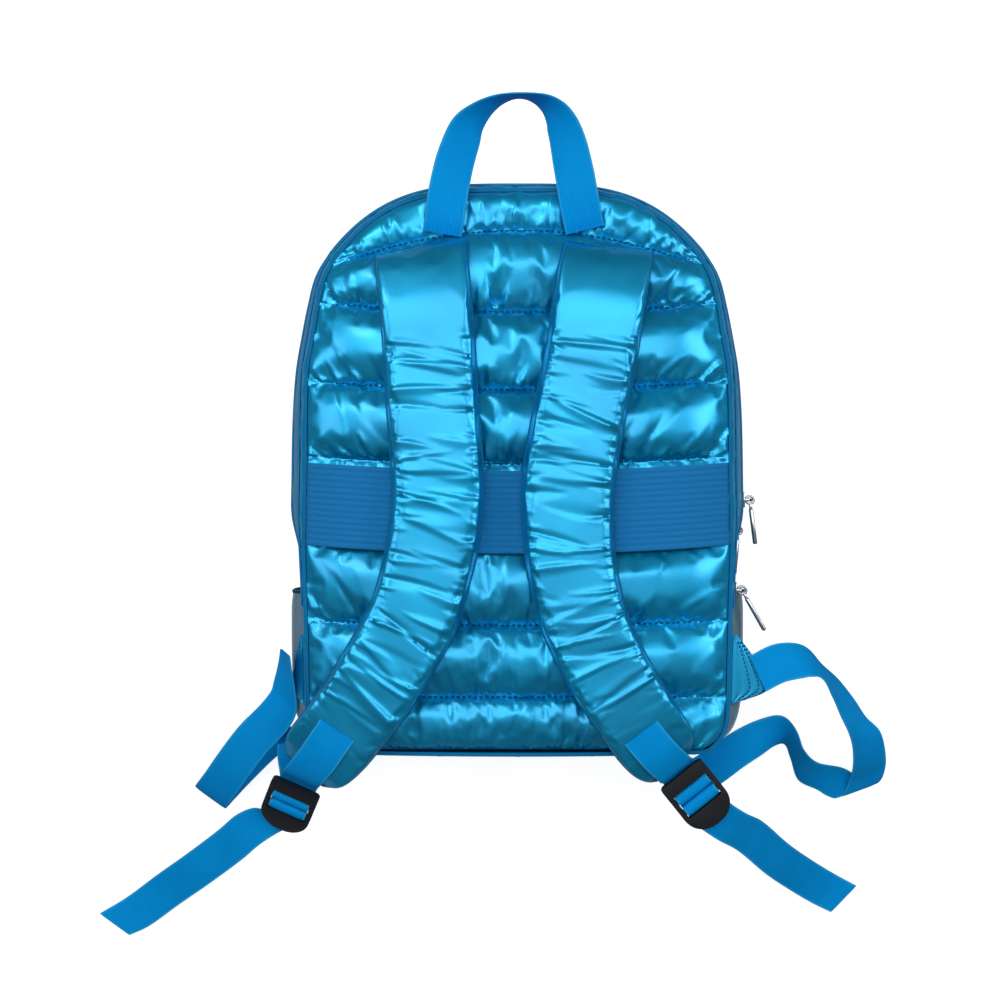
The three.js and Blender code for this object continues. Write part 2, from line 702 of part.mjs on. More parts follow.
// The buckle's outline: straight at the plate, widest at the middle, a round nose.
function buckleGeometry() {
  const half = BUCKLE_WIDTH / 2;
  const side = (sign) =>
    BUCKLE_OUTLINE.map(([x, y]) => new THREE.Vector2(sign * x * half, -y * BUCKLE_LENGTH));
  const fullness = NOSE_FULLNESS * half;
  const [, , leftEnd] = side(-1);
  const shape = new THREE.Shape(side(1));
  shape.quadraticCurveTo(fullness, -BUCKLE_LENGTH, 0, -BUCKLE_LENGTH);
  shape.quadraticCurveTo(-fullness, -BUCKLE_LENGTH, leftEnd.x, leftEnd.y);
  for (const { x, y } of side(-1).reverse().slice(1)) shape.lineTo(x, y);
  shape.closePath();
  const open = WEB_WIDTH / 2 + REST_GAP;
  const window = new THREE.Path();
  rectangle(window, -open, -WINDOW_END, open, -PLATE_LENGTH);
  shape.holes.push(window);
  const body = new THREE.ExtrudeGeometry(shape, {
    depth: BUCKLE_THICKNESS,
    bevelEnabled: false,
    curveSegments: NOSE_SEGMENTS,
  });
  return geometryOf(
    [FIRST_BAR, SECOND_BAR].reduce((solid, start) => {
      const bar = new THREE.BoxGeometry(open + half, CROSS_BAR, BAR_THICKNESS);
      bar.translate(0, -start - CROSS_BAR / 2, BAR_RISE + BAR_THICKNESS / 2);
      return solid.add(solidOf(bar));
    }, solidOf(body)),
  );
}

// A strap's way round one cross bar, in the buckle's own frame: how far along the buckle its
// middle lies, and how high.
const STRAP_HALF = WEB_THICKNESS / 2;
const UNDER_PLATE = -STRAP_HALF - REST_GAP;
const OVER_BAR = BAR_RISE + BAR_THICKNESS + STRAP_CLEAR + STRAP_HALF;
const BEND = STRAP_CLEAR + STRAP_HALF;

const EASE = 0.15 * BEND;

const overBar = (start) => [
  [start - BEND, BAR_RISE + BAR_THICKNESS - EASE],
  [start - EASE, OVER_BAR],
  [start + CROSS_BAR + EASE, OVER_BAR],
  [start + CROSS_BAR + BEND, BAR_RISE + BAR_THICKNESS - EASE],
];

// The adapter strap comes in under the plate and goes round the first bar.
const ADAPTER_THREAD = [
  [-BEND, UNDER_PLATE],
  [PLATE_LENGTH - EASE, UNDER_PLATE],
  [FIRST_BAR - BEND, -EASE],
  ...overBar(FIRST_BAR),
  [FIRST_BAR + CROSS_BAR + BEND, -STRAP_HALF],
];

// The lower strap comes up between the bars, goes over the second one and out under the nose.
const LOWER_THREAD = [
  [PLATE_LENGTH / 2, UNDER_PLATE - 2 * WEB_THICKNESS],
  [FIRST_BAR, UNDER_PLATE - 2 * WEB_THICKNESS],
  [SECOND_BAR - 3 * BEND, UNDER_PLATE - WEB_THICKNESS - STRAP_CLEAR],
  [SECOND_BAR - BEND, UNDER_PLATE],
  ...overBar(SECOND_BAR),
  [WINDOW_END - BEND, -EASE],
  [WINDOW_END + EASE, UNDER_PLATE],
  [BUCKLE_LENGTH - NOSE_FREE, UNDER_PLATE],
];

const threaded = (rows, frame, turn) =>
  rows.map(([along, height]) => ({ at: vec(0, -along, height).applyMatrix4(frame.matrix), turn, tilt: 0 }));

function lowerStrapGeometry(sign, { start, loop, tail }, buckle) {
  const frame = buckleFrame(buckle);
  const turnBack = sign > 0 ? -180 : 0;
  const thread = threaded(LOWER_THREAD, frame, buckle.turn + turnBack);
  const sewn = vec(start.x * HALF_WIDTH, start.y * HALF_LENGTH, 0);
  const nose = vec(0, -BUCKLE_LENGTH, 0).applyMatrix4(frame.matrix);
  const swung = loop.map(([share, x, y, z, turn, tilt]) => {
    const at = sewn.clone().lerp(thread[0].at, share);
    return { at: vec(at.x + x * LOOP_REACH, at.y + y * LOOP_REACH, z * BUCKLE_HEIGHT), turn, tilt };
  });
  const loose = tail.map(([x, y, z, turn, tilt]) => ({
    at: vec(nose.x + x * TAIL_REACH, nose.y + y * TAIL_REACH, z * BUCKLE_HEIGHT),
    turn: turn + turnBack,
    tilt,
  }));
  return webStrap([...swung, ...thread, ...loose]);
}

function adapterGeometry(rows, buckle) {
  const path = rows.map(([x, y, z, turn]) => ({
    at: vec(x * HALF_WIDTH, y * HALF_LENGTH, z * PANEL_TOP),
    turn,
    tilt: 0,
  }));
  return webStrap([...path, ...threaded(ADAPTER_THREAD, buckleFrame(buckle), buckle.turn)]);
}

// A wing of doubled cloth that carries the lower strap out from the gusset.
function wingGeometry(sign, { spread, droop }) {
  const offset = GUSSET_WALL + 2 * REST_GAP;
  const root = WING_ROWS.map(([row, share]) => {
    const above = stations[indexOfRow(row, sign)];
    const below = stations[indexOfRow(row + 1, sign)];
    const at = gussetPoint(above, LEVEL_ZIP_BACK, offset);
    at.lerp(gussetPoint(below, LEVEL_ZIP_BACK, offset), share);
    return at.setZ(at.z + halfTape(LEVEL_ZIP_BACK));
  });
  const tip = root.map((at, i) => {
    const [, , out] = WING_ROWS[i];
    return at.clone().add(vec(sign * spread * out * WING_REACH, 0, -droop * out * WING_REACH));
  });
  return strap(root, tip, WING_THICKNESS);
}

function solidOf(geometry) {
  const plain = geometry.clone();
  plain.deleteAttribute("normal");
  plain.deleteAttribute("uv");
  const merged = BufferGeometryUtils.mergeVertices(plain);
  return new wasm.Manifold(
    new wasm.Mesh({
      numProp: 3,
      vertProperties: new Float32Array(merged.attributes.position.array),
      triVerts: new Uint32Array(merged.index.array),
    }),
  );
}

function geometryOf(solid) {
  const mesh = solid.getMesh();
  const geometry = new THREE.BufferGeometry();
  geometry.setAttribute("position", new THREE.Float32BufferAttribute(mesh.vertProperties, 3));
  geometry.setIndex([...mesh.triVerts]);
  geometry.computeVertexNormals();
  return geometry;
}

// A zip slider: a plate on the tape with a bridge whose outer bar runs across the zip. Its own
// x points away from the tape, y along the zip and z across it.
function sliderGeometry() {
  const half = SLIDER_WIDTH / 2;
  const plate = new THREE.BoxGeometry(SLIDER_PLATE, SLIDER_LENGTH, SLIDER_WIDTH);
  plate.translate(SLIDER_PLATE / 2, 0, 0);
  const frame = new THREE.Shape();
  rectangle(frame, SLIDER_PLATE / 2, -half, BRIDGE_HEIGHT, half);
  const gap = new THREE.Path();
  rectangle(gap, SLIDER_PLATE, -half + BRIDGE_BAR / 2, BRIDGE_HEIGHT - BRIDGE_BAR, half - BRIDGE_BAR / 2);
  frame.holes.push(gap);
  const bridge = new THREE.ExtrudeGeometry(frame, { depth: BRIDGE_BAR, bevelEnabled: false });
  bridge.rotateX(Math.PI / 2);
  bridge.translate(0, BRIDGE_BAR / 2, 0);
  return geometryOf(solidOf(plate).add(solidOf(bridge)));
}

// A zip pull: an eye round the bridge's bar, and a flat bar that points along -y.
function pullGeometry() {
  const eye = new THREE.Shape();
  eye.absarc(0, 0, EYE_HOLE + EYE_RIM, 0, 2 * Math.PI);
  const hole = new THREE.Path();
  hole.absarc(0, 0, EYE_HOLE, 0, 2 * Math.PI);
  eye.holes.push(hole);
  const ring = new THREE.ExtrudeGeometry(eye, {
    depth: EYE_WIDTH,
    bevelEnabled: false,
    curveSegments: RING_SEGMENTS,
  });
  ring.translate(0, 0, -EYE_WIDTH / 2);
  const neckStart = EYE_HOLE + EYE_RIM / 2;
  const neck = new THREE.BoxGeometry(NECK_THICKNESS, SLIDER_WIDTH / 2, EYE_WIDTH);
  neck.translate(0, -neckStart - SLIDER_WIDTH / 4, 0);
  const barStart = neckStart + SLIDER_WIDTH / 2 - EYE_RIM / 2;
  const bar = new THREE.BoxGeometry(PULL_THICKNESS, PULL_LENGTH - barStart, PULL_WIDTH);
  bar.translate(0, -(PULL_LENGTH + barStart) / 2, 0);
  return geometryOf(solidOf(ring).add(solidOf(neck)).add(solidOf(bar)));
}

// Where a slider sits: on the middle of its zip's tape, turned along the tape.
function sliderPlace({ at, level }) {
  const row = SIDE_ROWS.findIndex(([v]) => v <= at);
  const low = indexOfRow(row, 1);
  const offset = GUSSET_WALL + ZIP_GAP + ZIP_THICKNESS + SEAM_GAP;
  const above = gussetPoint(stations[low - 1], level, offset);
  const below = gussetPoint(stations[low], level, offset);
  const share = (above.y - at * HALF_LENGTH) / (above.y - below.y);
  const place = above.clone().lerp(below, share);
  place.z += halfTape(level);
  const along = above.sub(below);
  return { place, turn: Math.atan2(along.y, along.x) - Math.PI / 2 };
}

const backpack = new THREE.Group();
backpack.name = "backpack";

function addPiece(name, geometry, finish, parent = backpack) {
  const mesh = new THREE.Mesh(geometry, finish);
  mesh.name = name;
  parent.add(mesh);
  return mesh;
}

addPiece("back_panel", gridShell(backOuter, backInner), quilted());
addPiece("front_panel", gridShell(frontOuter, frontInner), quilted());
addPiece("side_wall", gussetGeometry(), quilted());
addPiece("zip_back", zipGeometry(LEVEL_ZIP_BACK, ROW_ZIP_BACK_END), zipTape());
addPiece("zip_middle", zipGeometry(LEVEL_ZIP_MIDDLE, ROW_ZIP_MIDDLE_END), zipTape());
addPiece("zip_front", zipGeometry(LEVEL_ZIP_FRONT, ROW_ZIP_FRONT_END), zipTape());
addPiece("luggage_band", bandGeometry(), webbing());
addPiece("shoulder_pad_left", padGeometry(LEFT_PAD), quilted());
addPiece("shoulder_pad_right", padGeometry(RIGHT_PAD), quilted());
addPiece("carry_handle", handleGeometry(), webbing());

for (const [side, sign] of [["left", -1], ["right", 1]]) {
  const buckle = BUCKLES[side];
  addPiece(`side_pocket_${side}`, pocketGeometry(sign), meshNet());
  addPiece(`wing_${side}`, wingGeometry(sign, WINGS[side]), quilted());
  addPiece(`adapter_strap_${side}`, adapterGeometry(ADAPTERS[side], buckle), webbing());
  const frame = buckleFrame(buckle);
  addPiece(`ladder_buckle_${side}`, buckleGeometry(), blackPlastic(), frame);
  backpack.add(frame);
  addPiece(`lower_strap_${side}`, lowerStrapGeometry(sign, LOWER_STRAPS[side], buckle), webbing());
}

for (const [number, slider] of Object.entries(SLIDERS)) {
  const { place, turn } = sliderPlace(slider);
  const mount = new THREE.Group();
  mount.position.copy(place);
  mount.rotation.z = turn;
  backpack.add(mount);
  addPiece(`zip_slider_${number}`, sliderGeometry(), chrome(), mount);
  const pull = addPiece(`zip_pull_${number}`, pullGeometry(), chrome(), mount);
  pull.position.x = BRIDGE_HEIGHT - BRIDGE_BAR / 2;
  pull.rotation.z = radians(slider.swing);
}

export default backpack;
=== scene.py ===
"""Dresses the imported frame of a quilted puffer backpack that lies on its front.

Lengths are millimetres until a mesh is made, and the frame's own metres after that. The bag lies
with its back panel up: +Y is the top of the bag and +X its right as one looks down on it.
"""
from __future__ import annotations

import logging
import math
from dataclasses import dataclass, field
from enum import Enum

import bpy
import numpy as np
from mathutils import Euler, Matrix, Vector

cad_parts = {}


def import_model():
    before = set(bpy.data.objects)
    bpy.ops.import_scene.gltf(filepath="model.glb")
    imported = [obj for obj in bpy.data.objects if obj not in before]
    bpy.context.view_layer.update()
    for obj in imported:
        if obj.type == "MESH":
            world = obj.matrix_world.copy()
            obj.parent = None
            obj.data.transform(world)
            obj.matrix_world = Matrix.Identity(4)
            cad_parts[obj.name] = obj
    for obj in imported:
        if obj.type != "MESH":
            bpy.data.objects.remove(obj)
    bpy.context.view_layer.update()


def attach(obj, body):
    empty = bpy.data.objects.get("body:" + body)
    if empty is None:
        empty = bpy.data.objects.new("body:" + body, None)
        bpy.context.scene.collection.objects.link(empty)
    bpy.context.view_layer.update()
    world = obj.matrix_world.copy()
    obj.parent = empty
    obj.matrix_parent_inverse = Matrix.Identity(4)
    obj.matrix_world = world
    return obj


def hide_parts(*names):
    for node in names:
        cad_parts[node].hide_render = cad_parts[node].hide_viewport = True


LOG = logging.getLogger("backpack")
MM = 0.001
BAG = "bag"
CREASE_ANGLE = math.radians(62)

# The body, as in the frame
HALF_LENGTH = 211.0
HALF_WIDTH = 160.3
BACK_SEAM = 104.0
CROWN = 10.0
PUFF = 9.0
REST_FLAT = 2.0
FRONT_SEAM = CROWN + PUFF - REST_FLAT
GUSSET_HEIGHT = BACK_SEAM - FRONT_SEAM
PANEL_WALL = 3.0
GUSSET_WALL = 3.0
BULGE = 12.5
SEAM_GAP = 0.3
REST_GAP = 0.5
WEB_WIDTH = 30.0
WEB_THICKNESS = 1.6
BAND_THICKNESS = 1.5
PAD_WIDTH = 68.0
PAD_THICKNESS = 15.0
PAD_EDGE = 5.0
PAD_LIFT = REST_GAP + BAND_THICKNESS + REST_GAP
PANEL_TOP = BACK_SEAM + CROWN + PUFF

# The side outline from the upper corners down: shares of the half length and half width, and
# of the gusset's bulge there.
SIDE_ROWS = np.array([
    [0.775, 0.84, 0.8],
    [0.7, 0.899, 0.8],
    [0.605, 0.932, 0.8],
    [0.49, 0.958, 0.85],
    [0.36, 0.986, 0.85],
    [0.19, 0.993, 0.95],
    [0.0, 0.994, 1.0],
    [-0.16, 0.998, 0.95],
    [-0.3, 1.0, 0.42],
    [-0.43, 0.994, 0.32],
    [-0.5, 0.991, 0.45],
    [-0.68, 0.986, 0.5],
    [-0.84, 0.981, 0.45],
    [-0.91, 0.972, 0.35],
    [-0.962, 0.94, 0.25],
    [-1.0, 0.87, 0.1],
])
CORNER = SIDE_ROWS[0, 0]
ARCH_DROP = 0.225
ARCH_POWER = 3.6

# Levels up the gusset: share of its height, and share of the bulge there.
GUSSET_LEVELS = np.array([
    [0, 0],
    [0.09, 0.6],
    [0.23, 0.6],
    [0.33, 1],
    [0.47, 1],
    [0.64, 0.7],
    [0.78, 0.25],
    [0.92, 0.25],
    [1, 0],
])


def srgb(code: str, alpha: float = 1.0) -> tuple[float, float, float, float]:
    """Turns an sRGB hex colour into linear values.

    Args:
        code: six hex digits after a hash.
        alpha: the fourth value, kept as it is.

    Returns:
        Linear red, green and blue, and alpha.
    """
    parts = [int(code[i:i + 2], 16) / 255 for i in (1, 3, 5)]
    linear = [p / 12.92 if p <= 0.04045 else ((p + 0.055) / 1.055) ** 2.4 for p in parts]
    return (*linear, alpha)


def add(tree: bpy.types.NodeTree, kind: str, settings: dict | None = None, links: dict | None = None) -> bpy.types.Node:
    """Adds a shader node.

    Args:
        tree: the material's node tree.
        kind: the node's type name without its ShaderNode prefix.
        settings: node properties by name, and socket values by socket name or number.
        links: output sockets by the name or number of the input that each one feeds.

    Returns:
        The new node.
    """
    node = tree.nodes.new("ShaderNode" + kind)
    for key, value in (settings or {}).items():
        if isinstance(key, str) and hasattr(node, key):
            setattr(node, key, value)
        else:
            node.inputs[key].default_value = value
    for key, output in (links or {}).items():
        tree.links.new(output, node.inputs[key])
    return node


def new_material(name: str) -> tuple[bpy.types.Material, bpy.types.NodeTree, bpy.types.Node]:
    """Makes an empty node material with its output.

    Args:
        name: the material's name.

    Returns:
        The material, its tree and the output node.
    """
    material = bpy.data.materials.new(name)
    material.use_nodes = True
    tree = material.node_tree
    tree.nodes.clear()
    return material, tree, tree.nodes.new("ShaderNodeOutputMaterial")


def colour_ramp(tree: bpy.types.NodeTree, factor: bpy.types.NodeSocket, stops: list[tuple[float, str]]) -> bpy.types.NodeSocket:
    """Adds a colour ramp.

    Args:
        tree: the material's node tree.
        factor: the output that drives the ramp.
        stops: places from 0 to 1 with their sRGB colours.

    Returns:
        The ramp's colour output.
    """
    ramp = add(tree, "ValToRGB", links={"Fac": factor})
    elements = ramp.color_ramp.elements
    while len(elements) < len(stops):
        elements.new(0.5)
    for element, (place, code) in zip(elements, stops):
        element.position = place
        element.color = srgb(code)
    return ramp.outputs["Color"]


@dataclass(frozen=True)
class CoatedNylon:
    """Thin nylon with a metallic coating: it mirrors the light softly along every crease."""

    name: str = "coated_nylon"
    deep: str = "#009ACC"
    bright: str = "#00ADE0"
    metallic: float = 0.7
    roughness: float = 0.35
    coat: float = 0.5
    mottle_mm: float = 46.0
    crinkle_mm: float = 7.0
    crinkle_depth_mm: float = 0.08
    coat_roughness: float = 0.22
    coat_ior: float = 1.45

    def build(self) -> bpy.types.Material:
        """Makes the material: two close blues, a soft mottle and a very fine crinkle."""
        material, tree, output = new_material(self.name)
        place = add(tree, "TexCoord").outputs["Object"]
        mottle = add(tree, "TexNoise", {"Scale": 1 / (self.mottle_mm * MM), "Detail": 2.0}, {"Vector": place})
        colour = colour_ramp(tree, mottle.outputs["Fac"], [(0.32, self.deep), (0.68, self.bright)])
        crinkle = add(tree, "TexNoise", {"Scale": 1 / (self.crinkle_mm * MM), "Detail": 3.0, "Roughness": 0.5},
                      {"Vector": place})
        bump = add(tree, "Bump", {"Strength": 0.5, "Distance": self.crinkle_depth_mm * MM},
                   {"Height": crinkle.outputs["Fac"]})
        shader = add(tree, "BsdfPrincipled",
                     {"Metallic": self.metallic, "Roughness": self.roughness, "Coat Weight": self.coat,
                      "Coat Roughness": self.coat_roughness, "Coat IOR": self.coat_ior},
                     {"Base Color": colour, "Normal": bump.outputs["Normal"]})
        tree.links.new(shader.outputs["BSDF"], output.inputs["Surface"])
        return material


@dataclass(frozen=True)
class WovenTape:
    """Plain woven polyester tape: matt, with cross threads and a firmer, paler selvedge."""

    name: str = "woven_tape"
    body: str = "#0096E2"
    worn: str = "#02A0EC"
    selvedge: str = "#2CA8E6"
    width_mm: float = WEB_WIDTH
    thread_mm: float = 0.9
    selvedge_share: float = 0.045
    roughness: float = 0.66
    specular: float = 0.06
    thread_depth_mm: float = 0.12

    def build(self) -> bpy.types.Material:
        """Makes the material from the tape's own map: u across it and v along it, in metres."""
        material, tree, output = new_material(self.name)
        uv = add(tree, "UVMap", {"uv_map": "tape"}).outputs["UV"]
        split = add(tree, "SeparateXYZ", links={"Vector": uv})
        threads = math.tau / (self.thread_mm * MM)
        warp = add(tree, "Math", {"operation": "SINE"},
                   {0: add(tree, "Math", {"operation": "MULTIPLY", 1: threads}, {0: split.outputs["X"]}).outputs[0]})
        weft = add(tree, "Math", {"operation": "SINE"},
                   {0: add(tree, "Math", {"operation": "MULTIPLY", 1: threads}, {0: split.outputs["Y"]}).outputs[0]})
        weave = add(tree, "Math", {"operation": "MULTIPLY"}, {0: warp.outputs[0], 1: weft.outputs[0]})
        place = add(tree, "TexCoord").outputs["Object"]
        wear = add(tree, "TexNoise", {"Scale": 28.0, "Detail": 3.0}, {"Vector": place})
        base = colour_ramp(tree, wear.outputs["Fac"], [(0.3, self.body), (0.75, self.worn)])
        off = add(tree, "Math", {"operation": "ABSOLUTE"}, {0: split.outputs["X"]})
        edge = self.width_mm * MM / 2 * (1 - 2 * self.selvedge_share)
        is_edge = add(tree, "Math", {"operation": "GREATER_THAN", 1: edge}, {0: off.outputs[0]})
        colour = add(tree, "Mix", {"data_type": "RGBA", 7: srgb(self.selvedge)}, {0: is_edge.outputs[0], 6: base})
        bump = add(tree, "Bump", {"Strength": 0.6, "Distance": self.thread_depth_mm * MM}, {"Height": weave.outputs[0]})
        shader = add(tree, "BsdfPrincipled", {"Roughness": self.roughness, "Specular IOR Level": self.specular},
                     {"Base Color": colour.outputs[2], "Normal": bump.outputs["Normal"]})
        tree.links.new(shader.outputs["BSDF"], output.inputs["Surface"])
        return material


@dataclass(frozen=True)
class PlainFinish:
    """A moulded, spun or plated surface with a fine grain."""

    name: str
    deep: str
    bright: str
    metallic: float = 0.0
    roughness: float = 0.45
    grain_mm: float = 1.2
    grain_depth_mm: float = 0.05
    alpha: float = 1.0
    specular: float = 0.5

    def build(self) -> bpy.types.Material:
        """Makes the material: two close colours and a fine bump."""
        material, tree, output = new_material(self.name)
        place = add(tree, "TexCoord").outputs["Object"]
        grain = add(tree, "TexNoise", {"Scale": 1 / (self.grain_mm * MM), "Detail": 2.0}, {"Vector": place})
        colour = colour_ramp(tree, grain.outputs["Fac"], [(0.3, self.deep), (0.7, self.bright)])
        bump = add(tree, "Bump", {"Strength": 0.4, "Distance": self.grain_depth_mm * MM},
                   {"Height": grain.outputs["Fac"]})
        shader = add(tree, "BsdfPrincipled",
                     {"Metallic": self.metallic, "Roughness": self.roughness, "Alpha": self.alpha,
                      "Specular IOR Level": self.specular},
                     {"Base Color": colour, "Normal": bump.outputs["Normal"]})
        tree.links.new(shader.outputs["BSDF"], output.inputs["Surface"])
        return material


class Finish(Enum):
    """The finishes of the backpack, each with the record's slot that it belongs to."""

    NYLON = (CoatedNylon(), "quilted_nylon")
    TAPE = (WovenTape(), "webbing")
    ELASTIC = (PlainFinish("ribbed_elastic", "#009AD4", "#00A6E0", roughness=0.8, grain_mm=1.0, specular=0.05), "ribbed_elastic")
    ZIP = (PlainFinish("zip_tape", "#0878AC", "#0E8AC0", roughness=0.7), "zip_tape")
    TEETH = (PlainFinish("zip_teeth", "#063E63", "#0A5380", roughness=0.35), "zip_tape")
    THREAD = (PlainFinish("sewing_thread", "#003E66", "#004E7C", roughness=0.6, specular=0.1), "quilted_nylon")
    BINDING = (PlainFinish("edge_binding", "#006C9E", "#0078AC", roughness=0.6, specular=0.1), "quilted_nylon")
    NET = (PlainFinish("pocket_net", "#5F8499", "#86A6B6", roughness=0.7, alpha=0.72), "net")
    DARK_BINDING = (PlainFinish("dark_binding", "#0B2436", "#12344C", roughness=0.6), "net")
    PLASTIC = (PlainFinish("moulded_acetal", "#121419", "#1B1E24", roughness=0.38, grain_mm=0.8), "buckle_plastic")
    CHROME = (PlainFinish("polished_chrome", "#9DA2A6", "#B4B9BC", metallic=1.0, roughness=0.12), "chrome")

    def material(self) -> bpy.types.Material:
        """Returns the finish's material, made once."""
        recipe, _ = self.value
        return bpy.data.materials.get(recipe.name) or recipe.build()


def smooth_at(knots: np.ndarray, values: np.ndarray, at: np.ndarray) -> np.ndarray:
    """Follows values smoothly between knots, without overshooting a flat stretch.

    Args:
        knots: rising places.
        values: one row of values for each knot.
        at: the places asked for.

    Returns:
        One row of values for each place.
    """
    values = values.reshape(len(knots), -1).astype(float)
    steps = np.diff(knots)[:, None]
    slopes = np.diff(values, axis=0) / steps
    inner = np.where(slopes[:-1] * slopes[1:] > 0, 2 * slopes[:-1] * slopes[1:] / (slopes[:-1] + slopes[1:] + 1e-12), 0)
    tangents = np.vstack([slopes[:1], inner, slopes[-1:]])
    i = np.clip(np.searchsorted(knots, at, side="right") - 1, 0, len(knots) - 2)
    h = steps[i]
    t = ((at - knots[i])[:, None] / h)
    return ((1 + 2 * t) * (1 - t) ** 2 * values[i] + t * (1 - t) ** 2 * h * tangents[i]
            + t ** 2 * (3 - 2 * t) * values[i + 1] + t ** 2 * (t - 1) * h * tangents[i + 1])


def curve_through(points: np.ndarray, step: float) -> tuple[np.ndarray, np.ndarray]:
    """Runs a rounded curve through points of any number of values; the first three are a place.

    Args:
        points: one row for each point.
        step: the spacing asked for, in millimetres.

    Returns:
        The new rows, and how far along the curve each lies.
    """
    chord = np.linalg.norm(np.diff(points[:, :3], axis=0), axis=1)
    knots = np.concatenate([[0], np.cumsum(np.maximum(chord, 1e-6))])
    tangents = np.empty_like(points)
    tangents[1:-1] = (points[2:] - points[:-2]) / (knots[2:] - knots[:-2])[:, None]
    tangents[0] = (points[1] - points[0]) / chord[0]
    tangents[-1] = (points[-1] - points[-2]) / chord[-1]
    at = np.linspace(0, knots[-1], max(int(knots[-1] / step), 2) + 1)
    i = np.clip(np.searchsorted(knots, at, side="right") - 1, 0, len(knots) - 2)
    h = (knots[i + 1] - knots[i])[:, None]
    t = (at - knots[i])[:, None] / h
    rows = ((1 + 2 * t) * (1 - t) ** 2 * points[i] + t * (1 - t) ** 2 * h * tangents[i]
            + t ** 2 * (3 - 2 * t) * points[i + 1] + t ** 2 * (t - 1) * h * tangents[i + 1])
    return rows, at


def grid_faces(rows: int, columns: int, first: int = 0, flip: bool = False, ring: bool = False) -> list[tuple[int, ...]]:
    """Lists the quads of a grid of points.

    Args:
        rows: rows of points.
        columns: points in each row.
        first: the number of the grid's first point.
        flip: turns every face over.
        ring: joins the last row to the first.

    Returns:
        The quads as point numbers.
    """
    last = rows if ring else rows - 1
    quads = []
    for r in range(last):
        here, next_row = first + r * columns, first + ((r + 1) % rows) * columns
        for c in range(columns - 1):
            quad = (here + c, next_row + c, next_row + c + 1, here + c + 1)
            quads.append(quad[::-1] if flip else quad)
    return quads


def new_piece(name: str, points: np.ndarray, faces: list[tuple[int, ...]], finish: Finish) -> bpy.types.Object:
    """Makes a smooth-shaded mesh object at the origin.

    Args:
        name: the piece's name.
        points: its points, in millimetres.
        faces: its faces as point numbers.
        finish: what it is made of.

    Returns:
        The new object.
    """
    mesh = bpy.data.meshes.new(name)
    mesh.from_pydata((np.asarray(points).reshape(-1, 3) * MM).tolist(), [], faces)
    mesh.shade_smooth()
    mesh.set_sharp_from_angle(angle=CREASE_ANGLE)
    mesh.materials.append(finish.material())
    piece = bpy.data.objects.new(name, mesh)
    bpy.context.scene.collection.objects.link(piece)
    return piece


def dress(piece: bpy.types.Object, body: str = BAG, replaces: tuple[str, ...] = ()) -> bpy.types.Object:
    """Puts a piece on its body and hides the frame nodes that it stands for.

    Args:
        piece: the piece.
        body: the frame body that it rides on.
        replaces: the frame nodes that it stands for.

    Returns:
        The same piece.
    """
    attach(piece, body)
    if replaces:
        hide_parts(*replaces)
    LOG.info("%s: %d faces", piece.name, len(piece.data.polygons))
    return piece


def rim_of(rows: int, columns: int) -> list[int]:
    """The numbers of a grid's border points, once round it."""
    return ([c for c in range(columns - 1)]
            + [r * columns + columns - 1 for r in range(rows - 1)]
            + [(rows - 1) * columns + c for c in range(columns - 1, 0, -1)]
            + [r * columns for r in range(rows - 1, 0, -1)])


def paint_last(piece: bpy.types.Object, count: int, finish: Finish) -> None:
    """Gives a piece's last faces a second finish."""
    piece.data.materials.append(finish.material())
    faces = piece.data.polygons
    for face in faces[len(faces) - count:]:
        face.material_index = 1


def shell(name: str, outer: np.ndarray, inner: np.ndarray, finish: Finish) -> bpy.types.Object:
    """Makes a closed wall between two grids.

    Args:
        name: the piece's name.
        outer: the outer grid, rows by columns by 3, turned so that its faces point out.
        inner: the inner grid; its cells are as large as the outer ones or a whole number of them.
        finish: what it is made of.

    Returns:
        The new object.
    """
    rows, columns = outer.shape[:2]
    inner_rows, inner_columns = inner.shape[:2]
    times = (rows - 1) // (inner_rows - 1)
    under = rows * columns
    faces = grid_faces(rows, columns) + grid_faces(inner_rows, inner_columns, under, flip=True)
    outer_rim, inner_rim = rim_of(rows, columns), rim_of(inner_rows, inner_columns)
    for i, a in enumerate(inner_rim):
        b = inner_rim[(i + 1) % len(inner_rim)]
        span = [outer_rim[(i * times + k) % len(outer_rim)] for k in range(times + 1)]
        faces.append((*span, under + b, under + a))
    return new_piece(name, np.concatenate([outer.reshape(-1, 3), inner.reshape(-1, 3)]), faces, finish)


def grid_normals(grid: np.ndarray) -> np.ndarray:
    """Works out unit normals of a grid from its neighbouring points."""
    down = np.gradient(grid, axis=0)
    along = np.gradient(grid, axis=1)
    normal = np.cross(down, along)
    return normal / np.maximum(np.linalg.norm(normal, axis=2, keepdims=True), 1e-9)


def refine(grid: np.ndarray, times: int = 2) -> np.ndarray:
    """Splits each cell of a grid along a smooth curve through its points.

    Args:
        grid: rows by columns by 3.
        times: how many new cells each old one makes, along both ways.

    Returns:
        The finer grid.
    """
    for axis in (0, 1):
        grid = np.moveaxis(grid, axis, 0)
        count = len(grid)
        at = np.linspace(0, count - 1, (count - 1) * times + 1)
        i = np.minimum(at.astype(int), count - 2)
        t = (at - i)[:, None, None]
        before, a = grid[np.maximum(i - 1, 0)], grid[i]
        b, after = grid[i + 1], grid[np.minimum(i + 2, count - 1)]
        grid = 0.5 * (2 * a + (b - before) * t + (2 * before - 5 * a + 4 * b - after) * t ** 2
                      + (3 * a - before - 3 * b + after) * t ** 3)
        grid = np.moveaxis(grid, 0, axis)
    return grid


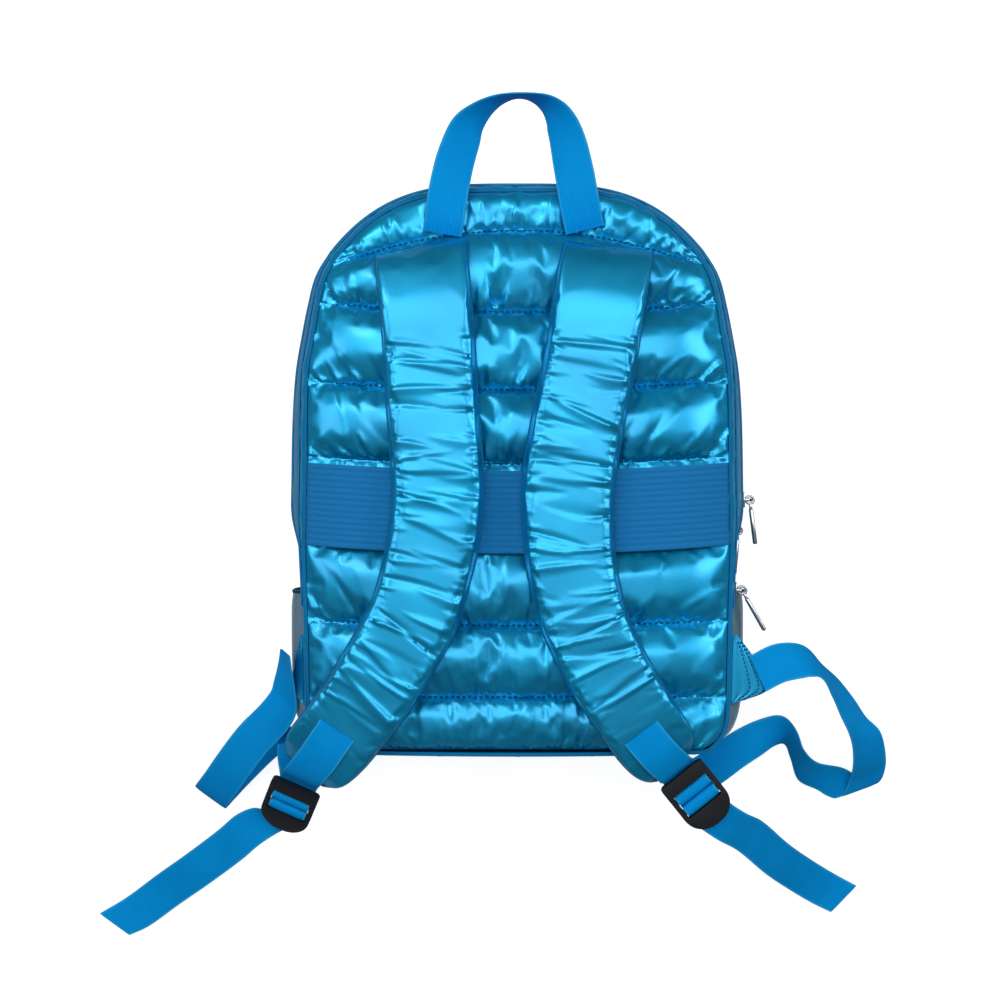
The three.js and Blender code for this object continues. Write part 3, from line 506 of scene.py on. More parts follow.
@dataclass
class Folds:
    """Pointed folds pressed into a sheet: each runs from a start point and dies out at its end."""

    seed: int
    rows: list[tuple[float, ...]] = field(default_factory=list)

    def __post_init__(self) -> None:
        """Starts the folds' own number stream."""
        self.random = np.random.default_rng(self.seed)

    def press(self, x: float, y: float, length: float, width: float, angle: float, height: float) -> None:
        """Adds one fold: where it starts, its length and width, its angle in degrees, its height."""
        self.rows.append((x, y, length, width, angle, height))

    def gather(self, line: np.ndarray, spacing: float, length: float, width: float, height: float,
               lean: float, spread: float = 22.0, fan: float = 0.0, raised: float = 0.5) -> None:
        """Gathers cloth along a sewn line.

        Args:
            line: points of the line, from one end to the other.
            spacing: the usual distance between folds.
            length: the usual length of a fold.
            width: the usual width of a fold.
            height: the usual height of a fold.
            lean: the angle of the folds, in degrees.
            spread: how far single folds lean away from that.
            fan: how much further the folds lean at each side of the bag.
            raised: the share of the folds that stand up; the others are sunk.
        """
        steps = np.concatenate([[0], np.cumsum(np.linalg.norm(np.diff(line, axis=0), axis=1))])
        at = self.random.uniform(0, spacing)
        while at < steps[-1]:
            x = np.interp(at, steps, line[:, 0])
            y = np.interp(at, steps, line[:, 1])
            size = self.random.uniform(0.45, 1.35)
            sign = 1 if self.random.random() < raised else -1
            self.press(x, y, length * size * self.random.uniform(0.7, 1.3), width * self.random.uniform(0.7, 1.4),
                       lean + fan * np.clip(x / HALF_WIDTH, -1, 1) + self.random.uniform(-spread, spread),
                       sign * height * size)
            at += spacing * self.random.uniform(0.45, 1.6)

    def heights(self, x: np.ndarray, y: np.ndarray) -> np.ndarray:
        """Adds up the folds at points of the sheet.

        Args:
            x: first sheet coordinates.
            y: second sheet coordinates, of the same shape.

        Returns:
            The height of the folds at each point.
        """
        total = np.zeros(x.shape)
        for fx, fy, length, width, angle, height in self.rows:
            reach = length + 3 * width
            near = (np.abs(x - fx) < reach) & (np.abs(y - fy) < reach)
            c, s = math.cos(math.radians(angle)), math.sin(math.radians(angle))
            dx, dy = x[near] - fx, y[near] - fy
            along = (dx * c + dy * s) / length
            bent = (dy * c - dx * s) + 0.1 * length * along ** 2
            t = np.clip(along, 0, 1)
            body = np.clip(along * 7 + 0.3, 0, 1) * (1 - t) ** 0.7
            spread = width * (0.3 + 0.8 * np.sin(math.pi * t ** 0.7))
            steep = np.where(bent * (1 if (fx + fy) % 2 < 1 else -1) > 0, 1.5, 0.4)
            total[near] += height * body * np.exp(-(bent / (spread * steep)) ** 2)
        return total


@dataclass(frozen=True)
class Air:
    """How a sewn sheet is blown up by its filling."""

    pressure: float = 5.0
    growth: float = 0.05
    frames: int = 20
    cap: float = 7.0
    bending: float = 0.12

    def fill(self, grid: np.ndarray, sewn: np.ndarray) -> np.ndarray:
        """Blows up a sheet with the cloth solver and gives back its new shape.

        Args:
            grid: rows by columns by 3, in millimetres.
            sewn: a truth value for each point that the stitching holds.

        Returns:
            The sheet's new points.
        """
        rows, columns = grid.shape[:2]
        sheet = new_piece("sheet_in_work", grid, grid_faces(rows, columns), Finish.NYLON)
        group = sheet.vertex_groups.new(name="sewn")
        group.add(np.flatnonzero(sewn.ravel()).tolist(), 1.0, "REPLACE")
        modifier = sheet.modifiers.new("air", "CLOTH")
        cloth = modifier.settings
        cloth.vertex_group_mass = group.name
        cloth.quality = 5
        cloth.mass = 0.15
        cloth.tension_stiffness = 12
        cloth.compression_stiffness = 12
        cloth.shear_stiffness = 3
        cloth.bending_stiffness = self.bending
        cloth.use_pressure = True
        cloth.uniform_pressure_force = self.pressure
        cloth.shrink_min = -self.growth
        cloth.effector_weights.gravity = 0
        modifier.point_cache.frame_start = 1
        modifier.point_cache.frame_end = self.frames
        scene = bpy.context.scene
        for frame_number in range(1, self.frames + 1):
            scene.frame_set(frame_number)
        bpy.ops.object.select_all(action="DESELECT")
        bpy.context.view_layer.objects.active = sheet
        sheet.select_set(True)
        bpy.ops.object.modifier_apply(modifier=modifier.name)
        flat = np.empty(rows * columns * 3)
        sheet.data.vertices.foreach_get("co", flat)
        bpy.data.objects.remove(sheet)
        scene.frame_set(1)
        moved = flat.reshape(grid.shape) / MM - grid
        size = np.linalg.norm(moved, axis=2, keepdims=True)
        moved *= np.minimum(1, self.cap / np.maximum(size, 1e-6))
        return grid + moved


def half_width(v: np.ndarray) -> np.ndarray:
    """Half the body's width at places along its length, given as shares of the half length."""
    rows = SIDE_ROWS[::-1]
    return smooth_at(rows[:, 0], rows[:, 1], np.clip(v, -1, CORNER))[:, 0] * HALF_WIDTH


def arch(u: np.ndarray) -> np.ndarray:
    """The top edge's place at shares of the width, as a share of the half length."""
    return 1 - ARCH_DROP * np.abs(u) ** ARCH_POWER


def crown(u: np.ndarray, v: np.ndarray) -> np.ndarray:
    """How far a panel's middle stands above its edge."""
    return CROWN * (1 - u ** 4) * (1 - np.clip(v, -1, 1) ** 4)


class Side(Enum):
    """The two quilted panels of the body."""

    BACK = 1
    FRONT = -1


@dataclass(frozen=True)
class Seam:
    """One quilting seam: its place at the middle, how far its ends rise, and the puff above it."""

    at: float
    bow: float
    puff: float


@dataclass
class QuiltedPanel:
    """A panel of puffed channels, sewn across and gathered along every seam."""

    side: Side
    node: str
    seams: tuple[Seam, ...]
    seed: int
    cell: float = 3.0
    finer: int = 2
    roundness: float = 0.6
    groove: float = 1.6
    columns: int = 107

    def seam_line(self, index: int, u: np.ndarray) -> np.ndarray:
        """A seam's places, as shares of the half length, or the arch for the number -1."""
        if index < 0:
            return arch(u)
        seam = self.seams[index]
        return seam.at + seam.bow * u ** 2

    def sheet(self) -> tuple[np.ndarray, np.ndarray]:
        """Lays out the panel's outer sheet.

        Returns:
            Its points, rows by columns by 3, and which rows are seams.
        """
        u = np.linspace(-1, 1, self.columns)
        rows, sewn = [], []
        for k, seam in enumerate(self.seams):
            above, below = self.seam_line(k - 1, u), self.seam_line(k, u)
            count = max(int((above - below).mean() * HALF_LENGTH / self.cell), 4)
            even = np.linspace(0, 1, count + 1)
            for t in (0.5 * even + 0.25 * (1 - np.cos(math.pi * even)))[(0 if k == 0 else 1):]:
                v = above + (below - above) * t
                fill = np.sin(math.pi * min(max(t, 0), 1)) ** self.roundness if 0.001 < t < 0.999 else 0
                lift = crown(u, v) * (t if k == 0 else 1) + PUFF * seam.puff * fill * (1 - u ** 8)
                from_seam = min(1 - t, 1 if k == 0 else t) * (above - below).mean() * HALF_LENGTH
                lift = lift - self.groove * math.exp(-(from_seam / 2.2) ** 2) * (1 - u ** 8)
                rows.append(np.stack([u * half_width(v), v * HALF_LENGTH, lift], axis=1))
                sewn.append(bool(np.isclose(t, 0) or np.isclose(t, 1)))
        return np.array(rows), np.array(sewn)

    def folds(self) -> Folds:
        """Gathers both sides of every seam and lays long soft folds across each channel."""
        folds = Folds(self.seed)
        random = folds.random
        u = np.linspace(-1, 1, 60)
        for k, seam in enumerate(self.seams):
            v = self.seam_line(k, u)
            line = np.stack([u * half_width(v), v * HALF_LENGTH], axis=1)
            folds.gather(line, 6.0, 16, 1.2, 1.3, 90, 20, fan=-52, raised=0.35)
            folds.gather(line, 15, 29, 3.0, 2.0 if seam.at > -0.5 else 1.4, 90, 18, fan=-50, raised=0.6)
            if k < len(self.seams) - 1:
                folds.gather(line, 8, 8, 1.3, 0.7, -90, 16, fan=34, raised=0.4)
            if seam.puff < 0.5:
                continue
            for x in np.arange(-0.92, 0.95, 0.17):
                x += random.uniform(-0.05, 0.05)
                start = (seam.at + random.uniform(0.0, 0.09)) * HALF_LENGTH
                folds.press(x * HALF_WIDTH, start, random.uniform(30, 55), random.uniform(5, 9),
                            90 - 52 * x + random.uniform(-22, 22), random.choice([-1.3, 1.5, 1.9]))
        return folds

    def heights(self, lift: np.ndarray) -> np.ndarray:
        """Turns a lift above the seam into a height above the floor."""
        if self.side is Side.BACK:
            return BACK_SEAM + lift
        return np.maximum(FRONT_SEAM - lift, 0.0)

    def build(self) -> bpy.types.Object:
        """Blows up, gathers and closes the panel."""
        sheet, sewn = self.sheet()
        held = np.zeros(sheet.shape[:2], dtype=bool)
        held[sewn] = True
        held[:, [0, -1]] = True
        flat = sheet.copy()
        if self.side is Side.BACK:
            sheet = Air(pressure=4.0, growth=0.01, cap=2.0, bending=3.0).fill(sheet, held)
        sheet = refine(sheet, self.finer)
        distance = refine(np.repeat(self._room(flat, sewn)[:, :, None], 3, axis=2), self.finer)[:, :, 0]
        wrinkle = self.folds().heights(sheet[:, :, 0], sheet[:, :, 1]) * np.clip(distance, 0, 1)
        sheet = sheet + grid_normals(sheet) * np.sign(grid_normals(sheet)[:, :, 2:]) * wrinkle[:, :, None]
        outer = self._below_covers(sheet)
        outer[:, :, 2] = self.heights(outer[:, :, 2])
        inner = flat
        u = np.linspace(-1, 1, inner.shape[1])[None, :]
        v = inner[:, :, 1] / HALF_LENGTH
        rise = crown(np.broadcast_to(u, v.shape), v)
        sign = self.side.value
        edge = BACK_SEAM if self.side is Side.BACK else FRONT_SEAM
        top = np.clip((1 - v) * 6, 0, 1)
        inner[:, :, 2] = edge + sign * (rise * top - PANEL_WALL)
        if self.side is Side.FRONT:
            outer, inner = outer[:, ::-1], inner[:, ::-1]
        piece = shell(self.node + "_quilt", outer, inner, Finish.NYLON)
        paint_last(piece, len(rim_of(*inner.shape[:2])), Finish.BINDING)
        return piece

    def _below_covers(self, sheet: np.ndarray) -> np.ndarray:
        """Keeps the cloth of the back clear below the band and the pads.

        Args:
            sheet: the folded sheet, rows by columns by 3, with its lift above the seam.

        Returns:
            The sheet with its lift limited.
        """
        v = sheet[:, :, 1] / HALF_LENGTH
        u = np.clip(sheet[:, :, 0] / half_width(v.ravel()).reshape(v.shape), -1, 1)
        free = crown(u, v) + PUFF * (1 - u ** 8)
        clear = sheet.copy()
        limit = np.full(v.shape, 1.9)
        if self.side is Side.BACK:
            high = self.seams[3].at + self.seams[3].bow * u ** 2 - 0.02
            low = self.seams[4].at + self.seams[4].bow * u ** 2 - 0.022
            inside = np.minimum(high - v, v - low) * HALF_LENGTH
            limit -= np.clip(inside / 2 + 1, 0, 1) * 1.7
        over = clear[:, :, 2] - free
        soft = np.where(over > limit - 0.8, limit - 0.8 + 0.8 * np.tanh((over - limit + 0.8) / 0.8), over)
        clear[:, :, 2] = free + soft
        return clear

    def _room(self, sheet: np.ndarray, sewn: np.ndarray) -> np.ndarray:
        """How free the sheet is to fold: 0 on the edges, and less on a seam than off it."""
        room = np.where(sewn, 0.35, 1.0)[:, None] * np.ones(sheet.shape[1])[None, :]
        room[[0, -1]] = 0
        room[:, [0, -1]] = 0
        return room

    def stitches(self, piece: bpy.types.Object) -> bpy.types.Object:
        """Runs a row of thread dashes along every cross seam of the panel."""
        u = np.linspace(-0.985, 0.985, 400)
        dashes = Dashes(length=2.7, gap=1.6, width=0.65, height=0.35)
        for k in range(len(self.seams) - 1):
            v = self.seam_line(k, u)
            lift = crown(u, v) - 1.0
            line = np.stack([u * half_width(v), v * HALF_LENGTH, self.heights(lift)], axis=1)
            dashes.along(line, np.array([0, 0, float(self.side.value)]))
        return dashes.build(piece.name + "_thread", Finish.THREAD)


@dataclass
class Dashes:
    """Short raised stitches in a row, made as one mesh."""

    length: float
    gap: float
    width: float
    height: float
    points: list[np.ndarray] = field(default_factory=list)

    def along(self, line: np.ndarray, up: np.ndarray) -> None:
        """Lays stitches along a line of points, standing up the given way."""
        steps = np.concatenate([[0], np.cumsum(np.linalg.norm(np.diff(line, axis=0), axis=1))])
        for start in np.arange(self.gap, steps[-1] - self.length, self.length + self.gap):
            a, b = (np.array([np.interp(s, steps, line[:, k]) for k in range(3)]) for s in (start, start + self.length))
            side = np.cross(b - a, up)
            side *= self.width / 2 / max(np.linalg.norm(side), 1e-9)
            lift = up * self.height
            tuck = (b - a) * 0.22
            self.points.append(np.array([a - side, a + side, b + side, b - side,
                                         a + tuck - side * 0.6 + lift, a + tuck + side * 0.6 + lift,
                                         b - tuck + side * 0.6 + lift, b - tuck - side * 0.6 + lift]))

    def build(self, name: str, finish: Finish) -> bpy.types.Object:
        """Makes the mesh of all stitches."""
        block = [(0, 1, 2, 3), (7, 6, 5, 4), (0, 4, 5, 1), (1, 5, 6, 2), (2, 6, 7, 3), (3, 7, 4, 0)]
        faces = [tuple(8 * i + k for k in quad) for i in range(len(self.points)) for quad in block]
        return new_piece(name, np.concatenate(self.points), faces, finish)


def outline(step: float = 3.5) -> tuple[np.ndarray, np.ndarray, np.ndarray]:
    """Walks round the body from the upper left corner over the arch and back up the left side.

    Args:
        step: the spacing of the stations, in millimetres.

    Returns:
        The stations' places, their outward directions, and the share of the bulge at each.
    """
    u = np.linspace(-1, 1, 61)[1:-1]
    rows = SIDE_ROWS
    side = np.column_stack([rows[:, 1] * HALF_WIDTH, rows[:, 0] * HALF_LENGTH, rows[:, 2]])
    left = side * [-1, 1, 1]
    top = np.column_stack([u * rows[0, 1] * HALF_WIDTH, arch(u) * HALF_LENGTH, np.full(len(u), rows[0, 2])])
    knots = np.vstack([left[:1], top, side, left[:0:-1], left[:1]])
    place = np.column_stack([knots[:, :2], np.zeros(len(knots)), knots[:, 2]])
    dense, _ = curve_through(place, step)
    dense = dense[:-1]
    along = np.roll(dense[:, :2], -1, axis=0) - np.roll(dense[:, :2], 1, axis=0)
    along /= np.linalg.norm(along, axis=1, keepdims=True)
    out = np.column_stack([-along[:, 1], along[:, 0]])
    return dense[:, :2], out, np.clip(dense[:, 3], 0, 1)


@dataclass
class Gusset:
    """The deep wall between the two panels, one smooth ring of cloth with soft lengthwise folds."""

    node: str = "side_wall"
    levels: int = 33
    seed: int = 5
    fold_height: float = 1.0

    def profile(self, share: np.ndarray) -> np.ndarray:
        """The share of the bulge at shares of the gusset's height."""
        return smooth_at(GUSSET_LEVELS[:, 0], GUSSET_LEVELS[:, 1], share)[:, 0]

    def surface(self, offset: float) -> np.ndarray:
        """Points of the wall, stations by levels by 3, at an offset from its inner side."""
        at, out, bulge = outline()
        share = np.linspace(0, 1, self.levels)
        reach = SEAM_GAP + BULGE * bulge[:, None] * self.profile(share)[None, :] + offset
        grid = np.empty((len(at), self.levels, 3))
        grid[:, :, :2] = at[:, None, :] + out[:, None, :] * reach[:, :, None]
        grid[:, :, 2] = FRONT_SEAM + share * GUSSET_HEIGHT
        return grid

    def build(self) -> bpy.types.Object:
        """Makes the ring with folds on its outer side."""
        outer, inner = self.surface(GUSSET_WALL), self.surface(0)
        _, out, _ = outline()
        steps = np.linalg.norm(np.diff(outer[:, 0], axis=0), axis=1)
        run = np.concatenate([[0], np.cumsum(steps)])
        share = np.linspace(0, GUSSET_HEIGHT, self.levels)
        x, y = np.meshgrid(run, share, indexing="ij")
        folds = Folds(self.seed)
        for height, lean in ((GUSSET_HEIGHT - 1, -90), (1, 90)):
            folds.gather(np.array([[0, height], [run[-1], height]]), 15, 9, 2.2, self.fold_height, lean, 30)
        for _ in range(40):
            folds.press(folds.random.uniform(0, run[-1]), folds.random.uniform(15, 70), folds.random.uniform(16, 40),
                        folds.random.uniform(3, 6), folds.random.uniform(-40, 40), folds.random.uniform(0.4, 1.1))
        wave = folds.heights(x, y)
        edge = np.minimum(1, np.minimum(share, share[::-1]) / 4)[None, :]
        wave = np.clip(wave * edge, -1.2, 1.5) * self._clear_of_zips(share)
        outer[:, :, :2] += out[:, None, :] * wave[:, :, None]
        rows, columns = outer.shape[:2]
        under = rows * columns
        faces = grid_faces(rows, columns, ring=True) + grid_faces(rows, columns, under, flip=True, ring=True)
        for r in range(rows):
            n = (r + 1) % rows
            for c, turned in ((0, False), (columns - 1, True)):
                quad = (n * columns + c, r * columns + c, under + r * columns + c, under + n * columns + c)
                faces.append(quad[::-1] if turned else quad)
        points = np.concatenate([outer.reshape(-1, 3), inner.reshape(-1, 3)])
        piece = new_piece("side_wall_cloth", points, faces, Finish.NYLON)
        paint_last(piece, 2 * rows, Finish.BINDING)
        return piece

    def _clear_of_zips(self, height: np.ndarray) -> np.ndarray:
        """Holds the cloth flat behind each zip tape."""
        room = np.ones(len(height))
        for level in (1, 3, 6):
            low, high = GUSSET_LEVELS[level:level + 2, 0] * GUSSET_HEIGHT
            room *= np.clip(np.maximum(low - height, height - high) / 3, 0, 1)
        return room[None, :]


@dataclass
class Zip:
    """A closed zip: its tape, and small teeth along the middle."""

    node: str
    level: int
    end_row: int
    thickness: float = 1.3
    gap: float = 0.35
    tooth: float = 1.5
    pitch: float = 3.0

    def path(self, offset: float, share: float) -> np.ndarray:
        """Points along the zip at an offset from the wall's inner side and a share up its tape."""
        at, out, bulge = outline(3.0)
        low, high = GUSSET_LEVELS[self.level], GUSSET_LEVELS[self.level + 1]
        end = SIDE_ROWS[self.end_row, 0] * HALF_LENGTH
        keep = np.flatnonzero(at[:, 1] < end)
        start = keep[-1] + 1
        order = (np.arange(len(at)) + start) % len(at)
        order = order[:len(at) - len(keep)]
        reach = SEAM_GAP + BULGE * bulge[order] * (low[1] + (high[1] - low[1]) * share) + offset
        points = np.empty((len(order), 3))
        points[:, :2] = at[order] + out[order] * reach[:, None]
        points[:, 2] = FRONT_SEAM + (low[0] + (high[0] - low[0]) * share) * GUSSET_HEIGHT
        return points

    def build(self) -> bpy.types.Object:
        """Makes the tape."""
        low = GUSSET_WALL + self.gap
        shares = np.linspace(0, 1, 7)
        outer = np.stack([self.path(low + self.thickness, s) for s in shares], axis=1)
        inner = np.stack([self.path(low, s) for s in shares], axis=1)
        return shell(self.node + "_tape", outer, inner, Finish.ZIP)

    def teeth(self) -> bpy.types.Object:
        """Makes the row of teeth, each a small block across the middle of the tape."""
        middle = self.path(GUSSET_WALL + self.gap + self.thickness - 0.2, 0.5)
        beyond = self.path(GUSSET_WALL + self.gap + self.thickness + 0.8, 0.5)
        steps = np.concatenate([[0], np.cumsum(np.linalg.norm(np.diff(middle, axis=0), axis=1))])
        dashes = Dashes(length=self.tooth, gap=self.pitch - self.tooth, width=3.2, height=0.7)
        count = int(steps[-1] / self.pitch)
        at = np.linspace(0, steps[-1], count)
        line = np.stack([np.interp(at, steps, middle[:, k]) for k in range(3)], axis=1)
        away = np.stack([np.interp(at, steps, (beyond - middle)[:, k]) for k in range(3)], axis=1)
        for i in range(count - 1):
            up = away[i] / np.linalg.norm(away[i])
            dashes.along(np.array([line[i], line[i + 1] + (line[i + 1] - line[i]) * 0.4]), up)
        return dashes.build(self.node + "_teeth", Finish.TEETH)


@dataclass
class Ribbon:
    """A flat strap through stations: places, and the turn and tilt of its width in degrees."""

    node: str
    stations: np.ndarray
    width: float = WEB_WIDTH
    thickness: float = WEB_THICKNESS
    step: float = 2.5
    across: int = 9
    ribs: int = 0
    rib_reach: float = 0.0

    def build(self) -> bpy.types.Object:
        """Makes the strap with rounded selvedges and a map of metres along it."""
        rows, run = curve_through(self.stations, self.step)
        place = rows[:, :3]
        turn, tilt = np.radians(rows[:, 3]), np.radians(rows[:, 4])
        side = np.stack([np.cos(tilt) * np.cos(turn), np.cos(tilt) * np.sin(turn), np.sin(tilt)], axis=1)
        along = np.gradient(place, axis=0)
        face = np.cross(along, side)
        face /= np.linalg.norm(face, axis=1, keepdims=True)
        shares = np.linspace(-1, 1, self.across)
        depth = self.thickness / 2 * (1 - 0.55 * np.abs(shares) ** 8)
        near_end = np.minimum(run, run[-1] - run)
        gathered = np.clip(1 - near_end / self.rib_reach, 0, 1) if self.rib_reach else np.zeros(len(run))
        ribbed = 0.7 * np.cos(shares * math.pi * self.ribs)
        rise = depth[None, :] + ribbed[None, :] * gathered[:, None]
        flat = place[:, None, :] + side[:, None, :] * shares[None, :, None] * self.width / 2
        top = flat + face[:, None, :] * rise[:, :, None]
        bottom = flat - face[:, None, :] * depth[None, :, None]
        piece = shell(self.node + "_web", top, bottom, Finish.TAPE)
        self._map(piece, shares, run)
        return piece

    def _map(self, piece: bpy.types.Object, shares: np.ndarray, run: np.ndarray) -> None:
        """Lays a map over both faces: across the strap and along it, in metres."""
        u, v = np.meshgrid(shares * self.width / 2 * MM, run * MM)
        values = np.column_stack([u.ravel(), v.ravel()])
        values = np.concatenate([values, values])
        layer = piece.data.uv_layers.new(name="tape")
        corner = np.empty(len(piece.data.loops), dtype=int)
        piece.data.loops.foreach_get("vertex_index", corner)
        layer.data.foreach_set("uv", values[corner].astype(np.float32).ravel())


@dataclass(frozen=True)
class LadderBuckle:
    """A ladder buckle: a plate, a window with two cross bars, and a round nose."""

    node: str
    x: float
    y: float
    z: float
    turn: float
    dip: float
    length: float = 49.0
    width: float = 39.0
    thickness: float = 5.0
    plate: float = 11.0
    cross_bar: float = 5.5
    bar_thickness: float = 2.0
    bar_rise: float = 0.8
    nose_free: float = 8.0
    clear: float = 0.45

    @property
    def end_slot(self) -> float:
        """The slot at each end of the window, for one strap."""
        return WEB_THICKNESS + 2 * self.clear

    @property
    def first_bar(self) -> float:
        """Where the first cross bar starts."""
        return self.plate + self.end_slot

    @property
    def second_bar(self) -> float:
        """Where the second cross bar starts."""
        return self.first_bar + self.cross_bar + 2 * self.end_slot

    @property
    def window_end(self) -> float:
        """Where the window ends."""
        return self.second_bar + self.cross_bar + self.end_slot

    def frame(self) -> Matrix:
        """The buckle's own frame, in millimetres: x across it, -y along it, z up."""
        turned = Euler((math.radians(self.dip), 0, math.radians(self.turn)), "XYZ").to_matrix().to_4x4()
        return Matrix.Translation((self.x * HALF_WIDTH, self.y * HALF_LENGTH, self.z * 100)) @ turned

    def place(self, along: float, height: float) -> np.ndarray:
        """A place on the buckle's middle plane, in the bag's frame."""
        return np.array(self.frame() @ Vector((0, -along, height)))

    def over_bar(self, start: float) -> list[tuple[float, float]]:
        """A strap's way over a cross bar: how far along the buckle, and how high."""
        half = WEB_THICKNESS / 2
        bend = self.clear + half
        ease = 0.15 * bend
        top = self.bar_rise + self.bar_thickness
        over = top + self.clear + half
        return [
            (start - bend, top - ease),
            (start - ease, over),
            (start + self.cross_bar + ease, over),
            (start + self.cross_bar + bend, top - ease),
        ]

    def adapter_thread(self) -> list[tuple[float, float]]:
        """The adapter strap's way: in under the plate and round the first bar."""
        half = WEB_THICKNESS / 2
        bend = self.clear + half
        return [
            (-bend, -half - REST_GAP),
            (self.plate - 0.15 * bend, -half - REST_GAP),
            (self.first_bar - bend, -0.15 * bend),
            *self.over_bar(self.first_bar),
            (self.first_bar + self.cross_bar + bend, -half),
        ]

    def lower_thread(self) -> list[tuple[float, float]]:
        """The lower strap's way: up between the bars, over the second and out under the nose."""
        half = WEB_THICKNESS / 2
        bend = self.clear + half
        under = -half - REST_GAP
        return [
            (self.plate / 2, under - 2 * WEB_THICKNESS),
            (self.first_bar, under - 2 * WEB_THICKNESS),
            (self.second_bar - 3 * bend, under - WEB_THICKNESS - self.clear),
            (self.second_bar - bend, under),
            *self.over_bar(self.second_bar),
            (self.window_end - bend, -0.15 * bend),
            (self.window_end + 0.15 * bend, under),
            (self.length - self.nose_free, under),
        ]

    def threaded(self, way: list[tuple[float, float]], turn: float) -> np.ndarray:
        """Stations of a strap that follows a way through the buckle."""
        return np.array([[*self.place(along, height), turn, 0.0] for along, height in way])


def tube(name: str, path: np.ndarray, radius: float, finish: Finish, sides: int = 8) -> bpy.types.Object:
    """Makes a round cord of cloth along a path.

    Args:
        name: the piece's name.
        path: points along its middle, in millimetres.
        radius: its radius.
        finish: what it is made of.
        sides: points round it.

    Returns:
        The new object.
    """
    along = np.gradient(path, axis=0)
    along /= np.linalg.norm(along, axis=1, keepdims=True)
    side = np.cross(along, np.array([0.0, 0.0, 1.0]))
    side /= np.maximum(np.linalg.norm(side, axis=1, keepdims=True), 1e-6)
    up = np.cross(side, along)
    angle = np.linspace(0, math.tau, sides + 1)
    grid = path[:, None, :] + radius * (side[:, None, :] * np.cos(angle)[None, :, None]
                                        + up[:, None, :] * np.sin(angle)[None, :, None])
    points = grid[:, :sides].reshape(-1, 3)
    faces = []
    for r in range(len(path) - 1):
        for c in range(sides):
            d = (c + 1) % sides
            faces.append((r * sides + c, r * sides + d, (r + 1) * sides + d, (r + 1) * sides + c))
    faces.append(tuple(range(sides))[::-1])
    faces.append(tuple((len(path) - 1) * sides + c for c in range(sides)))
    return new_piece(name, points, faces, finish)


